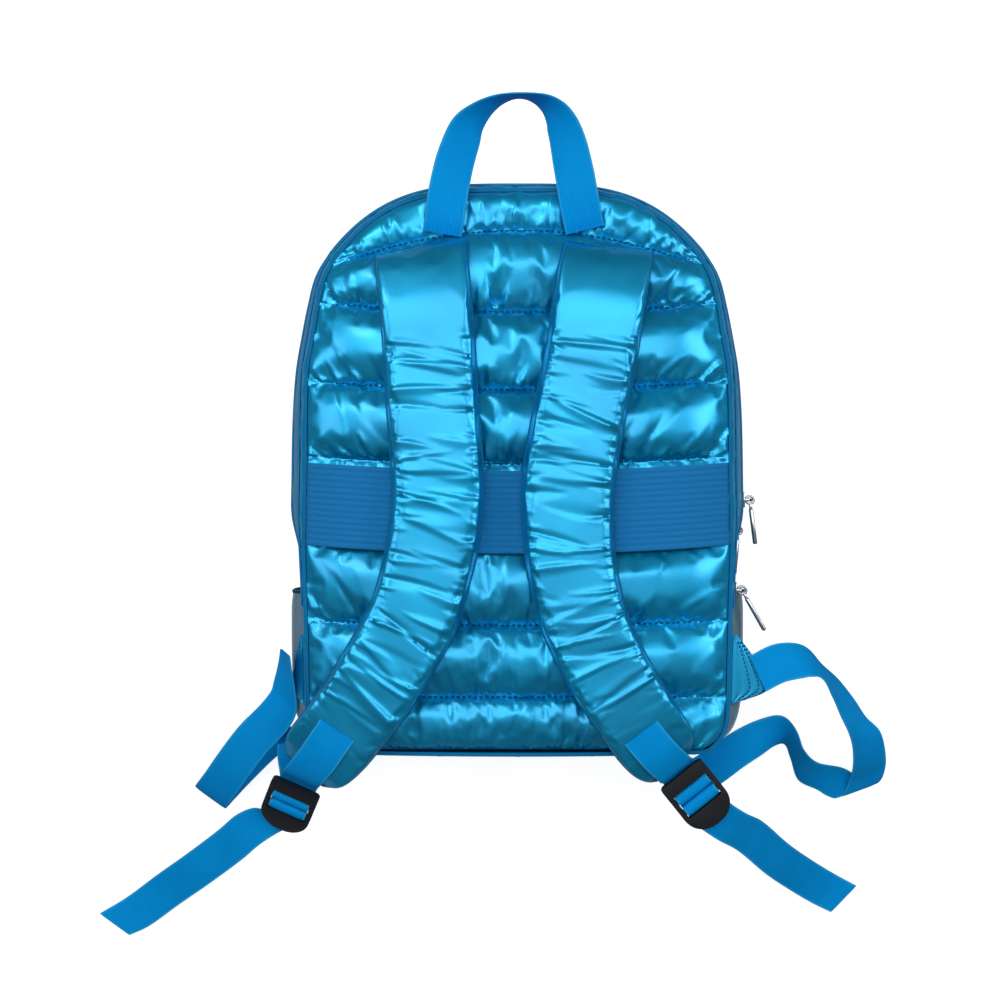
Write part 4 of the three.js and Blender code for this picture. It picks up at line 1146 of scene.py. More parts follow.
@dataclass
class ShoulderPad:
    """A padded shoulder strap of smooth coated cloth, bound along its edges.

    Its rows run from the upper end down: shares of the body's half width and half length for the
    middle, share of the pad's width, share of its thickness, and how high its underside lies.
    """

    node: str
    rows: np.ndarray
    skew: float
    seed: int
    shares: int = 29
    step: float = 3.0
    finer: int = 2
    skew_reach: float = 40.0
    end_round: float = 9.0

    def sections(self) -> tuple[np.ndarray, np.ndarray]:
        """Fine rows along the pad: place, width, thickness and rise; and the run along it."""
        table = self.rows
        knots = np.column_stack([table[:, 0] * HALF_WIDTH, table[:, 1] * HALF_LENGTH, np.zeros(len(table)),
                                 table[:, 2] * PAD_WIDTH / 2, table[:, 3], table[:, 4]])
        return curve_through(knots, self.step)

    def spread(self) -> np.ndarray:
        """Shares of the half width across the pad, closer together towards its edges."""
        even = np.linspace(-1, 1, self.shares)
        return np.sign(even) * (1 - (1 - np.abs(even)) ** 1.6)

    def grid(self) -> tuple[np.ndarray, np.ndarray, np.ndarray]:
        """The pad's upper and lower faces before filling, and the run along it."""
        rows, run = self.sections()
        along = np.gradient(rows[:, :2], axis=0)
        along /= np.linalg.norm(along, axis=1, keepdims=True)
        across = np.column_stack([-along[:, 1], along[:, 0]])
        shares = self.spread()
        reach = shares[None, :] * rows[:, 3:4]
        slant = self.skew * reach * np.clip(1 - run / self.skew_reach, 0, 1)[:, None]
        place = rows[:, None, :2] + across[:, None, :] * reach[:, :, None]
        place[:, :, 1] += slant
        under = BACK_SEAM + (CROWN + PUFF) * rows[:, 5] + PAD_LIFT
        end = np.minimum(run, run[-1] - run) / self.end_round
        close = np.sqrt(np.clip(end * (2 - np.clip(end, 0, 1)), 0.02, 1))
        full = PAD_EDGE + (PAD_THICKNESS - PAD_EDGE) * rows[:, 4] - PAD_EDGE / 2
        round_off = (1 - np.abs(shares) ** 30) ** 0.32
        top = under[:, None] + PAD_EDGE / 2 + 0.4 + full[:, None] * close[:, None] * round_off[None, :]
        sink = PAD_EDGE / 2 * np.abs(shares) ** 5
        low = under[:, None] + sink[None, :]
        upper = np.concatenate([place, top[:, :, None]], axis=2)
        lower = np.concatenate([place, low[:, :, None]], axis=2)
        return upper, lower, run

    def folds(self, run: np.ndarray) -> Folds:
        """Short pointed folds that start at both edges, thinning out towards the upper end."""
        folds = Folds(self.seed)
        half = PAD_WIDTH / 2
        start = run[-1] * 0.16
        for edge, lean in ((-half, 90), (half, -90)):
            line = np.array([[start, edge * 0.97], [run[-1], edge * 0.97]])
            folds.gather(line, 8, 13, 1.2, 1.0, lean, 14, raised=0.45)
            folds.gather(line, 19, 46, 2.2, 1.4, lean, 12, raised=0.55)
        for _ in range(11):
            side = folds.random.choice([-1, 1])
            folds.press(folds.random.uniform(start, run[-1]), side * half * 0.9, folds.random.uniform(50, 75),
                        folds.random.uniform(3.5, 6), -side * 90 + folds.random.uniform(-14, 14),
                        folds.random.choice([-0.8, 1.0, 1.3]))
        return folds

    def build(self) -> bpy.types.Object:
        """Fills, wrinkles and closes the pad."""
        upper, lower, run = self.grid()
        held = np.zeros(upper.shape[:2], dtype=bool)
        held[[0, -1]] = True
        held[:, [0, -1]] = True
        upper = Air(pressure=4.0, growth=0.006, cap=1.5, bending=3.0).fill(upper, held)
        plan = np.stack(np.meshgrid(run, self.spread() * PAD_WIDTH / 2, indexing="ij"), axis=2)
        upper, lower, plan = (refine(grid, self.finer) for grid in (upper, lower, plan))
        x, y = plan[:, :, 0], plan[:, :, 1]
        wave = np.clip(self.folds(run).heights(x, y), -1.6, 2.2)
        soft = np.minimum(1, (1 - np.abs(y) / (PAD_WIDTH / 2)) * 18)
        wave *= soft * np.clip(x / 10, 0, 1) * np.clip((run[-1] - x - 40) / 30, 0.2, 1)
        upper += grid_normals(upper) * wave[:, :, None]
        return shell(self.node + "_pad", upper, lower, Finish.NYLON)

    def edge(self) -> np.ndarray:
        """The line of the pad's binding: down one edge, round the tip and up the other."""
        upper, _, _ = self.grid()
        left, right = upper[:, 0], upper[::-1, -1]
        path = np.concatenate([left, upper[-1, 1:-1], right])
        path[:, 2] -= 0.6
        return path

    def binding(self) -> bpy.types.Object:
        """Makes the piping along the pad's edges."""
        return tube(self.node + "_piping", self.edge(), 0.8, Finish.BINDING)


@dataclass
class LuggageBand:
    """The ribbed elastic sleeve across the back, sewn into both side seams."""

    node: str
    top: Seam
    bottom: Seam
    lap_top: float = -0.024
    lap_bottom: float = -0.019
    ribs: int = 14
    rib_height: float = 0.8
    rows: int = 141
    columns: int = 129
    overlap_at: float = -0.72
    sunk_at: float = -12.0
    sunk_reach: float = 19.0

    def build(self) -> bpy.types.Object:
        """Makes the ribbed sleeve with the step of its overlapped end."""
        t = np.linspace(0, 1, self.rows)[:, None]
        u = np.linspace(-1, 1, self.columns)[None, :]
        high = self.top.at + self.top.bow * u ** 2 + self.lap_top
        low = self.bottom.at + self.bottom.bow * u ** 2 + self.lap_bottom
        v = high + (low - high) * t
        x = u * (half_width(v.ravel()).reshape(v.shape) - SEAM_GAP)
        base = BACK_SEAM + crown(u, v) + PUFF * (1 - u ** 8) + BAND_THICKNESS / 2 - 0.2
        rib = self.rib_height * np.abs(np.sin(math.pi * self.ribs * t))
        lapped = 0.55 / (1 + np.exp((u - self.overlap_at) * 260))
        sag = 0.6 * np.sin(u * 9 + 1.3) * np.sin(math.pi * t) ** 2
        sunk = 4.2 * np.exp(-((x - self.sunk_at) / self.sunk_reach) ** 4)
        base = base - sunk
        z = base + REST_GAP + rib + lapped + sag * 0.5
        outer = np.stack([x, v * HALF_LENGTH, z], axis=2)
        inner = outer.copy()
        inner[:, :, 2] = base + REST_GAP - BAND_THICKNESS / 2
        return shell(self.node + "_elastic", outer, inner, Finish.ELASTIC)


def gusset_point(row: int, share: float, sign: int, level: float, offset: float) -> np.ndarray:
    """A place on the gusset beside one row of the side outline.

    Args:
        row: the row of the side outline.
        share: the share of the way to the next row.
        sign: 1 for the right side and -1 for the left.
        level: share of the gusset's height.
        offset: how far out from the wall's inner side.

    Returns:
        The place.
    """
    side = np.column_stack([SIDE_ROWS[:, 1] * HALF_WIDTH, SIDE_ROWS[:, 0] * HALF_LENGTH])
    knots = np.arange(len(side), dtype=float)
    here = smooth_at(knots, side, np.array([row + share]))[0]
    ahead = smooth_at(knots, side, np.array([min(row + share + 0.2, knots[-1])]))[0]
    back = smooth_at(knots, side, np.array([max(row + share - 0.2, 0)]))[0]
    along = (ahead - back) / np.linalg.norm(ahead - back)
    out = np.array([-along[1], along[0]])
    bulge = smooth_at(knots, SIDE_ROWS[:, 2], np.array([row + share]))[0, 0]
    rise = smooth_at(GUSSET_LEVELS[:, 0], GUSSET_LEVELS[:, 1], np.array([level]))[0, 0]
    reach = SEAM_GAP + BULGE * bulge * rise + offset
    x, y = here + out * reach
    return np.array([sign * x, y, FRONT_SEAM + level * GUSSET_HEIGHT])


@dataclass
class Wing:
    """A wing of doubled cloth that carries the lower strap out from the gusset."""

    node: str
    sign: int
    spread: float
    droop: float
    reach: float = 28.0
    thickness: float = 2.4
    along: int = 41
    across: int = 21

    def corners(self) -> tuple[np.ndarray, np.ndarray]:
        """The wing's root and outer edge, four places each."""
        rows = ((10, 0.55, 0.12), (11, 0.0, 0.62), (11, 0.6, 1.0), (11, 1.0, 0.1))
        root = np.array([gusset_point(row, share, self.sign, 0.85, GUSSET_WALL + 2 * REST_GAP) for row, share, _ in rows])
        out = np.array([far for _, _, far in rows])[:, None] * self.reach
        tip = root + out * np.array([[self.sign * self.spread, 0, -self.droop]])
        return root, tip

    def face(self) -> np.ndarray:
        """The wing's middle sheet, along by across by 3."""
        root, tip = self.corners()
        knots = np.arange(4, dtype=float)
        at = np.linspace(0, 3, self.along)
        edge = np.column_stack([smooth_at(knots, root, at), smooth_at(knots, tip, at)])
        share = np.linspace(0, 1, self.across)[None, :, None]
        return edge[:, None, :3] * (1 - share) + edge[:, None, 3:] * share

    def build(self) -> bpy.types.Object:
        """Makes the wing with a slight quilting between its stitch lines."""
        face = self.face()
        normal = grid_normals(face)
        normal *= np.sign(normal[:, :, 2:] + 1e-9)
        share = np.linspace(0, 1, self.across)[None, :]
        pillow = 0.45 * np.abs(np.sin(math.pi * 4 * share)) * np.ones((self.along, 1))
        thick = self.thickness / 2 * (1 - 0.5 * share ** 8)
        upper = face + normal * (thick + pillow * 0.6)[:, :, None]
        lower = face - normal * thick[:, :, None]
        if self.sign > 0:
            upper, lower = upper[::-1], lower[::-1]
        return shell(self.node + "_cloth", upper, lower, Finish.NYLON)

    def stitches(self, piece: bpy.types.Object) -> bpy.types.Object:
        """Makes the stitch lines parallel to the outer edge."""
        face = self.face()
        dashes = Dashes(length=2.0, gap=1.2, width=0.7, height=0.5)
        for share in (0.5, 0.75, 0.93):
            line = face[3:-3, int(share * (self.across - 1))].copy()
            line[:, 2] += self.thickness / 2 + 0.3
            dashes.along(line, np.array([0.0, 0.0, 1.0]))
        return dashes.build(piece.name + "_thread", Finish.THREAD)


@dataclass
class SidePocket:
    """A shallow net pocket on one side of the gusset: sewn along three edges, open at the mouth."""

    node: str
    sign: int
    depth: float = 7.0
    wall: float = 1.5
    first_row: int = 9
    last_row: int = 14
    low: float = 0.09
    high: float = 0.78
    along: int = 60
    across: int = 28

    def sheet(self, extra: float) -> np.ndarray:
        """Points of the net, along by across by 3."""
        rows = np.linspace(self.first_row, self.last_row, self.along)
        levels = np.linspace(self.low, self.high, self.across)
        grid = np.empty((self.along, self.across, 3))
        for i, row in enumerate(rows):
            down = (row - self.first_row) / (self.last_row - self.first_row)
            for j, level in enumerate(levels):
                up = (level - self.low) / (self.high - self.low)
                loose = (1 - down ** 6) * (1 - abs(2 * up - 1) ** 6)
                stand = GUSSET_WALL + 0.35 + (self.depth - 0.35) * loose
                grid[i, j] = gusset_point(int(row) if row < self.last_row else self.last_row - 1,
                                          row % 1 if row < self.last_row else 1.0, self.sign, level, stand + extra)
        return grid

    def build(self) -> bpy.types.Object:
        """Makes the net."""
        outer, inner = self.sheet(self.wall), self.sheet(0)
        if self.sign > 0:
            outer, inner = outer[:, ::-1], inner[:, ::-1]
        return shell(self.node + "_net", outer, inner, Finish.NET)

    def hem(self) -> bpy.types.Object:
        """Makes the dark binding of the mouth."""
        return tube(self.node + "_hem", self.sheet(self.wall / 2)[1], 1.5, Finish.DARK_BINDING)


@dataclass
class HardPiece:
    """A moulded or cast piece: primitives shaped in edit mode, bevelled and joined."""

    name: str
    finish: Finish
    parts: list[bpy.types.Object] = field(default_factory=list)

    def block(self, low: tuple[float, float, float], high: tuple[float, float, float]) -> bpy.types.Object:
        """Adds a box between two corners, in millimetres."""
        bpy.ops.object.select_all(action="DESELECT")
        centre = [(a + b) / 2 * MM for a, b in zip(low, high)]
        size = [(b - a) * MM for a, b in zip(low, high)]
        bpy.ops.mesh.primitive_cube_add(size=1, location=centre, scale=size)
        bpy.ops.object.transform_apply(location=True, rotation=False, scale=True)
        part = bpy.context.object
        self.parts.append(part)
        return part

    def window(self, part: bpy.types.Object, axis: int, margin: float, shifts: dict[int, float]) -> None:
        """Opens a window right through a box.

        Args:
            part: the box.
            axis: the axis that the window runs along.
            margin: the frame's width.
            shifts: for each side of the window, plus or minus 1, how far it moves along y.
        """
        bpy.ops.object.mode_set(mode="EDIT")
        bpy.ops.mesh.select_mode(type="FACE")
        self._pick(part, lambda face: abs(face.normal[axis]) > 0.9)
        bpy.ops.mesh.inset(thickness=margin * MM, use_individual=True)
        bpy.ops.mesh.bridge_edge_loops()
        bpy.ops.object.mode_set(mode="OBJECT")
        for side, shift in shifts.items():
            self._slide(part, side, margin, shift)

    def _slide(self, part: bpy.types.Object, side: int, margin: float, shift: float) -> None:
        """Slides one end of a window along y."""
        ys = [v.co.y for v in part.data.vertices]
        at = (min(ys) + margin * MM) if side < 0 else (max(ys) - margin * MM)
        bpy.ops.object.mode_set(mode="EDIT")
        bpy.ops.mesh.select_mode(type="VERT")
        bpy.ops.mesh.select_all(action="DESELECT")
        bpy.ops.object.mode_set(mode="OBJECT")
        for vertex in part.data.vertices:
            vertex.select = abs(vertex.co.y - at) < 0.0002
        bpy.ops.object.mode_set(mode="EDIT")
        bpy.ops.transform.translate(value=(0, shift * MM, 0))
        bpy.ops.object.mode_set(mode="OBJECT")

    def _pick(self, part: bpy.types.Object, wanted) -> None:
        """Selects the faces that a test picks, in edit mode."""
        bpy.ops.mesh.select_all(action="DESELECT")
        bpy.ops.object.mode_set(mode="OBJECT")
        for face in part.data.polygons:
            face.select = wanted(face)
        bpy.ops.object.mode_set(mode="EDIT")

    def round_edges(self, part: bpy.types.Object, wanted, radius: float, segments: int) -> None:
        """Bevels the edges that a test of their two end points picks."""
        bpy.ops.object.mode_set(mode="EDIT")
        bpy.ops.mesh.select_mode(type="EDGE")
        bpy.ops.mesh.select_all(action="DESELECT")
        bpy.ops.object.mode_set(mode="OBJECT")
        points = part.data.vertices
        for edge in part.data.edges:
            edge.select = wanted(points[edge.vertices[0]].co / MM, points[edge.vertices[1]].co / MM)
        bpy.ops.object.mode_set(mode="EDIT")
        bpy.ops.mesh.bevel(offset=radius * MM, segments=segments, affect="EDGES", profile=0.5)
        bpy.ops.object.mode_set(mode="OBJECT")

    def soften(self, part: bpy.types.Object, radius: float, segments: int = 3) -> None:
        """Rounds every sharp edge of a part."""
        bpy.ops.object.select_all(action="DESELECT")
        bpy.context.view_layer.objects.active = part
        part.select_set(True)
        modifier = part.modifiers.new("soften", "BEVEL")
        modifier.width = radius * MM
        modifier.segments = segments
        modifier.limit_method = "ANGLE"
        modifier.angle_limit = math.radians(40)
        bpy.ops.object.modifier_apply(modifier=modifier.name)
        bpy.ops.object.shade_smooth_by_angle(angle=math.radians(35))

    def ring(self, hole: float, rim: float, width: float) -> bpy.types.Object:
        """Adds a flat ring round the z axis."""
        bpy.ops.object.select_all(action="DESELECT")
        bpy.ops.mesh.primitive_cylinder_add(vertices=28, radius=(hole + rim) * MM, depth=width * MM)
        part = bpy.context.object
        bpy.ops.object.mode_set(mode="EDIT")
        bpy.ops.mesh.select_mode(type="FACE")
        self._pick(part, lambda face: abs(face.normal.z) > 0.9)
        bpy.ops.mesh.inset(thickness=rim * MM, use_individual=True)
        bpy.ops.mesh.bridge_edge_loops()
        bpy.ops.object.mode_set(mode="OBJECT")
        self.parts.append(part)
        return part

    def finish_piece(self, place: Matrix) -> bpy.types.Object:
        """Joins the parts, gives them their finish and puts the mesh in its place.

        Args:
            place: the piece's own frame, in millimetres.

        Returns:
            The joined object, which sits at the origin.
        """
        bpy.ops.object.select_all(action="DESELECT")
        for part in self.parts:
            part.select_set(True)
        bpy.context.view_layer.objects.active = self.parts[0]
        bpy.ops.object.join()
        piece = bpy.context.object
        piece.name = self.name
        matrix = place.copy()
        matrix.translation = place.translation * MM
        piece.data.transform(matrix)
        piece.data.materials.clear()
        piece.data.materials.append(self.finish.material())
        return piece


def build_buckle(buckle: LadderBuckle) -> bpy.types.Object:
    """Models a ladder buckle and hangs it in its place."""
    hard = HardPiece(buckle.node + "_moulding", Finish.PLASTIC)
    half = buckle.width / 2
    frame = hard.block((-half, -buckle.length, 0), (half, 0, buckle.thickness))
    margin = half - WEB_WIDTH / 2 - REST_GAP
    hard.window(frame, 2, margin, {1: margin - buckle.plate, -1: buckle.length - buckle.window_end - margin})
    hard.round_edges(frame, lambda a, b: abs(a.z - b.z) > 4 and a.y < -48 and b.y < -48, 17.5, 10)
    hard.round_edges(frame, lambda a, b: abs(a.z - b.z) > 4 and a.y > -1 and b.y > -1, 3.5, 4)
    hard.soften(frame, 1.1)
    for start in (buckle.first_bar, buckle.second_bar):
        bar = hard.block((-half + 2, -start - buckle.cross_bar, buckle.bar_rise),
                         (half - 2, -start, buckle.bar_rise + buckle.bar_thickness))
        hard.soften(bar, 0.7)
    return hard.finish_piece(buckle.frame())


@dataclass(frozen=True)
class ZipRunner:
    """A zip slider and its pull: the pull's axis, and the turns of the zip and of the pull."""

    number: int
    pivot: tuple[float, float, float]
    turn: float
    swing: float
    length: float = 12.0
    width: float = 9.4
    plate: float = 1.5
    bridge_height: float = 6.9
    bridge_bar: float = 2.2
    pull_length: float = 35.0
    pull_width: float = 6.0
    pull_thickness: float = 3.0
    eye_hole: float = 2.1
    eye_rim: float = 1.8
    eye_width: float = 3.6
    neck_thickness: float = 2.1

    def build_slider(self) -> bpy.types.Object:
        """Models the slider: a plate on the tape, and a bridge whose outer bar crosses the zip."""
        hard = HardPiece(f"zip_slider_{self.number}_cast", Finish.CHROME)
        half = self.width / 2
        plate = hard.block((0, -self.length / 2, -half), (self.plate, self.length / 2, half))
        hard.soften(plate, 0.6)
        bar = self.bridge_bar
        for low, high in (((0.7, -bar / 2, -half), (self.bridge_height, bar / 2, -half + bar / 2)),
                          ((0.7, -bar / 2, half - bar / 2), (self.bridge_height, bar / 2, half)),
                          ((self.bridge_height - bar, -bar / 2, -half), (self.bridge_height, bar / 2, half))):
            hard.soften(hard.block(low, high), 0.35)
        turned = Matrix.Rotation(math.radians(self.turn), 4, "Z")
        back = turned @ Vector((bar / 2 - self.bridge_height, 0, 0))
        return hard.finish_piece(Matrix.Translation(Vector(self.pivot) + back) @ turned)

    def build_pull(self) -> bpy.types.Object:
        """Models the pull: an eye round the bridge's bar, a neck and a slim bar."""
        hard = HardPiece(f"zip_pull_{self.number}_cast", Finish.CHROME)
        hard.soften(hard.ring(self.eye_hole, self.eye_rim, self.eye_width), 0.5)
        start = self.eye_hole + self.eye_rim / 2
        neck = hard.block((-self.neck_thickness / 2, -start - self.width / 2, -self.eye_width / 2),
                          (self.neck_thickness / 2, -start, self.eye_width / 2))
        hard.soften(neck, 0.5)
        bar_start = start + self.width / 2 - self.eye_rim / 2
        bar = hard.block((-self.pull_thickness / 2, -self.pull_length, -self.pull_width / 2),
                         (self.pull_thickness / 2, -bar_start, self.pull_width / 2))
        hard.soften(bar, 1.1, 4)
        turned = Matrix.Rotation(math.radians(self.turn + self.swing), 4, "Z")
        return hard.finish_piece(Matrix.Translation(Vector(self.pivot)) @ turned)


BACK_SEAMS = (
    Seam(0.86, -0.12, 0.6),
    Seam(0.565, 0.036, 0.95),
    Seam(0.288, 0.034, 1.0),
    Seam(0.023, 0.031, 1.0),
    Seam(-0.276, 0.03, 0.15),
    Seam(-0.552, 0.016, 1.0),
    Seam(-0.809, 0.0, 0.95),
    Seam(-1.0, 0.0, 0.7),
)
FRONT_SEAMS = (
    Seam(0.84, -0.1, 0.6),
    *(Seam(at, 0.0, 1.0) for at in (0.6, 0.36, 0.12, -0.12, -0.36, -0.6)),
    Seam(-0.82, 0.0, 0.95),
    Seam(-1.0, 0.0, 0.6),
)

LEFT_PAD = np.array([
    [-0.455, 0.793, 0.99, 0.4, 0.62],
    [-0.446, 0.71, 1, 0.75, 0.85],
    [-0.43, 0.597, 1, 1, 1],
    [-0.412, 0.422, 1, 1, 1],
    [-0.399, 0.247, 1, 1, 1],
    [-0.38, 0.071, 1, 1, 1],
    [-0.371, -0.069, 1, 1, 1],
    [-0.387, -0.222, 0.99, 1, 1],
    [-0.422, -0.348, 0.98, 1, 1],
    [-0.479, -0.5, 0.97, 1, 1],
    [-0.565, -0.628, 0.96, 1, 0.98],
    [-0.64, -0.724, 0.95, 1, 0.93],
    [-0.713, -0.809, 0.94, 0.95, 0.85],
    [-0.787, -0.885, 0.92, 0.9, 0.7],
    [-0.869, -0.964, 0.9, 0.8, 0.5],
    [-0.945, -1.026, 0.84, 0.62, 0.24],
    [-0.98, -1.054, 0.7, 0.32, 0.0],
    [-1.002, -1.073, 0.52, 0.1, -0.2],
])
RIGHT_PAD = np.array([
    [0.423, 0.793, 0.98, 0.4, 0.62],
    [0.402, 0.71, 1, 0.75, 0.85],
    [0.376, 0.597, 1, 1, 1],
    [0.341, 0.422, 1, 1, 1],
    [0.297, 0.247, 1, 1, 1],
    [0.253, 0.071, 1.01, 1, 1],
    [0.23, -0.069, 1.01, 1, 1],
    [0.232, -0.209, 0.99, 1, 1],
    [0.248, -0.343, 0.97, 1, 1],
    [0.29, -0.487, 0.95, 1, 1],
    [0.332, -0.578, 0.93, 1, 1],
    [0.406, -0.694, 0.91, 1, 0.97],
    [0.474, -0.781, 0.89, 0.97, 0.92],
    [0.548, -0.867, 0.87, 0.92, 0.83],
    [0.616, -0.944, 0.85, 0.85, 0.66],
    [0.676, -1.0, 0.8, 0.66, 0.44],
    [0.713, -1.032, 0.68, 0.38, 0.24],
    [0.733, -1.048, 0.52, 0.1, 0.05],
])

HANDLE_REACH = 72.0
HANDLE_SPAN = 108.0
HANDLE_THICKNESS = 2.0
# The carry handle from the left foot over to the right foot: shares of its span and reach,
# height as a share of the puff above the back seam, and the tilt of its width in degrees.
HANDLE_ROWS = np.array([
    [-0.528, -0.46, 1.05, 0],
    [-0.509, -0.29, 1.25, 0],
    [-0.488, -0.06, 1.35, 6],
    [-0.463, 0.125, 1.4, 12],
    [-0.439, 0.278, 1.4, 18],
    [-0.407, 0.43, 1.4, 25],
    [-0.376, 0.556, 1.4, 32],
    [-0.347, 0.646, 1.4, 42],
    [-0.305, 0.728, 1.4, 56],
    [-0.229, 0.834, 1.4, 72],
    [-0.139, 0.918, 1.4, 85],
    [-0.04, 0.965, 1.4, 94],
    [0.04, 0.97, 1.4, 95],
    [0.122, 0.942, 1.4, 88],
    [0.201, 0.88, 1.4, 74],
    [0.262, 0.785, 1.4, 58],
    [0.296, 0.695, 1.4, 46],
    [0.326, 0.583, 1.4, 37],
    [0.35, 0.458, 1.4, 29],
    [0.369, 0.328, 1.4, 22],
    [0.396, 0.125, 1.4, 14],
    [0.419, -0.072, 1.35, 8],
    [0.443, -0.264, 1.25, 0],
    [0.468, -0.42, 1.05, 0],
])

# The pad ends of the adapter straps: shares of the half width and half length, height as a
# share of the panel's top, and turn in degrees.
LEFT_ADAPTER = np.array([
    [-0.835, -0.91, 1.093, -33],
    [-0.885, -0.965, 1.075, -33],
    [-0.935, -1.02, 1.032, -32],
    [-0.985, -1.068, 0.965, -28],
    [-1.015, -1.095, 0.9, -25],
])
RIGHT_ADAPTER = np.array([
    [0.565, -0.918, 1.112, 37],
    [0.615, -0.965, 1.1, 37],
    [0.665, -1.008, 1.065, 38],
    [0.71, -1.042, 1.005, 38],
    [0.74, -1.066, 0.94, 38],
])

LOOP_REACH = 120.0
TAIL_REACH = 180.0
# The lower straps from the wing to the buckle: share of the way, offsets as shares of the loop's
# reach, height as a share of 100 mm, turn and tilt in degrees.
LEFT_START = (-1.113, -0.66)
LEFT_LOOP = np.array([
    [0, 0, 0, 0.84, -20, 68],
    [0.06, -0.008, -0.041, 0.81, -18, 62],
    [0.12, -0.02, -0.115, 0.77, -22, 48],
    [0.18, -0.035, -0.169, 0.73, -35, 30],
    [0.24, -0.108, -0.226, 0.69, -44, 15],
    [0.29, -0.258, -0.335, 0.62, -44, 6],
    [0.35, -0.392, -0.45, 0.54, -38, 3],
    [0.41, -0.509, -0.553, 0.42, -36, 0],
    [0.47, -0.591, -0.598, 0.28, -36, 0],
    [0.53, -0.61, -0.573, 0.16, -36, 0],
    [0.59, -0.572, -0.476, 0.07, -37, 0],
    [0.65, -0.468, -0.309, 0.05, -40, 0],
    [0.71, -0.304, -0.091, 0.09, -42, 0],
    [0.76, -0.157, 0.076, 0.22, -40, 0],
    [0.82, -0.078, 0.16, 0.4, -36, 0],
    [0.88, -0.044, 0.136, 0.57, -30, 0],
    [0.94, -0.031, 0.061, 0.71, -26, 0],
])
RIGHT_START = (1.143, -0.733)
RIGHT_LOOP = np.array([
    [0, 0, 0, 0.92, -66, 0],
    [0.04, 0.147, 0.09, 0.915, -68, 8],
    [0.08, 0.282, 0.135, 0.895, -76, 26],
    [0.12, 0.385, 0.15, 0.86, -92, 46],
    [0.16, 0.493, 0.12, 0.82, -112, 70],
    [0.2, 0.615, 0.03, 0.74, -132, 62],
    [0.24, 0.738, -0.092, 0.62, -142, 52],
    [0.28, 0.842, -0.195, 0.52, -148, 46],
    [0.32, 0.934, -0.269, 0.42, -156, 26],
    [0.36, 1.0, -0.407, 0.26, -163, 14],
    [0.4, 1.027, -0.495, 0.12, -166, 4],
    [0.43, 1.02, -0.562, 0.044, -163, 0],
    [0.46, 0.985, -0.575, 0.018, -158, 0],
    [0.49, 0.93, -0.525, 0.05, -150, -10],
    [0.52, 0.84, -0.44, 0.11, -134, -26],
    [0.56, 0.699, -0.354, 0.17, -125, -46],
    [0.6, 0.631, -0.199, 0.28, -120, -66],
    [0.64, 0.592, -0.052, 0.37, -112, -60],
    [0.68, 0.523, 0.024, 0.44, -100, -30],
    [0.72, 0.42, 0.02, 0.52, -90, -10],
    [0.76, 0.292, -0.026, 0.56, -80, 0],
    [0.8, 0.166, -0.1, 0.56, -72, 0],
    [0.84, 0.07, -0.15, 0.56, -76, 0],
    [0.88, -0.015, -0.155, 0.6, -90, 0],
    [0.92, -0.074, -0.086, 0.73, -115, 0],
    [0.96, -0.059, -0.035, 0.84, -134, 0],
])
# The loose strap ends: shares of the tail's reach from the buckle's nose, height as a share of
# 100 mm, turn and tilt in degrees.
LEFT_TAIL = np.array([
    [-0.06, 0.02, 0.61, -34, 0],
    [-0.147, -0.028, 0.57, -46, 0],
    [-0.236, -0.106, 0.48, -50, 0],
    [-0.389, -0.228, 0.31, -52, 0],
    [-0.548, -0.348, 0.14, -52, 0],
    [-0.696, -0.461, 0.03, -48, 0],
    [-0.8, -0.518, 0.018, -36, 0],
])
RIGHT_TAIL = np.array([
    [0.06, -0.03, 0.84, 42, 0],
    [0.155, -0.09, 0.68, 48, 0],
    [0.297, -0.22, 0.42, 52, 0],
    [0.417, -0.314, 0.2, 53, 0],
    [0.54, -0.397, 0.05, 52, 0],
    [0.633, -0.447, 0.018, 46, 0],
])

BUCKLES = {
    "left": LadderBuckle("ladder_buckle_left", -1.045, -1.13, 0.95, -24, 36),
    "right": LadderBuckle("ladder_buckle_right", 0.765, -1.085, 1.0, 38.5, 10),
}


def handle_stations() -> np.ndarray:
    """Places, turns and tilts along the carry handle."""
    place = np.column_stack([HANDLE_ROWS[:, 0] * HANDLE_SPAN, HALF_LENGTH + HANDLE_ROWS[:, 1] * HANDLE_REACH,
                             BACK_SEAM + HANDLE_ROWS[:, 2] * PUFF])
    ahead = np.vstack([place[1:], place[-1:]]) - np.vstack([place[:1], place[:-1]])
    turn = np.unwrap(np.arctan2(ahead[:, 1], ahead[:, 0])) + math.pi / 2
    return np.column_stack([place, np.degrees(turn), HANDLE_ROWS[:, 3]])


def adapter_stations(rows: np.ndarray, buckle: LadderBuckle) -> np.ndarray:
    """Stations of an adapter strap from its pad through its buckle."""
    path = np.column_stack([rows[:, 0] * HALF_WIDTH, rows[:, 1] * HALF_LENGTH, rows[:, 2] * PANEL_TOP, rows[:, 3],
                            np.zeros(len(rows))])
    return np.vstack([path, buckle.threaded(buckle.adapter_thread(), buckle.turn)])


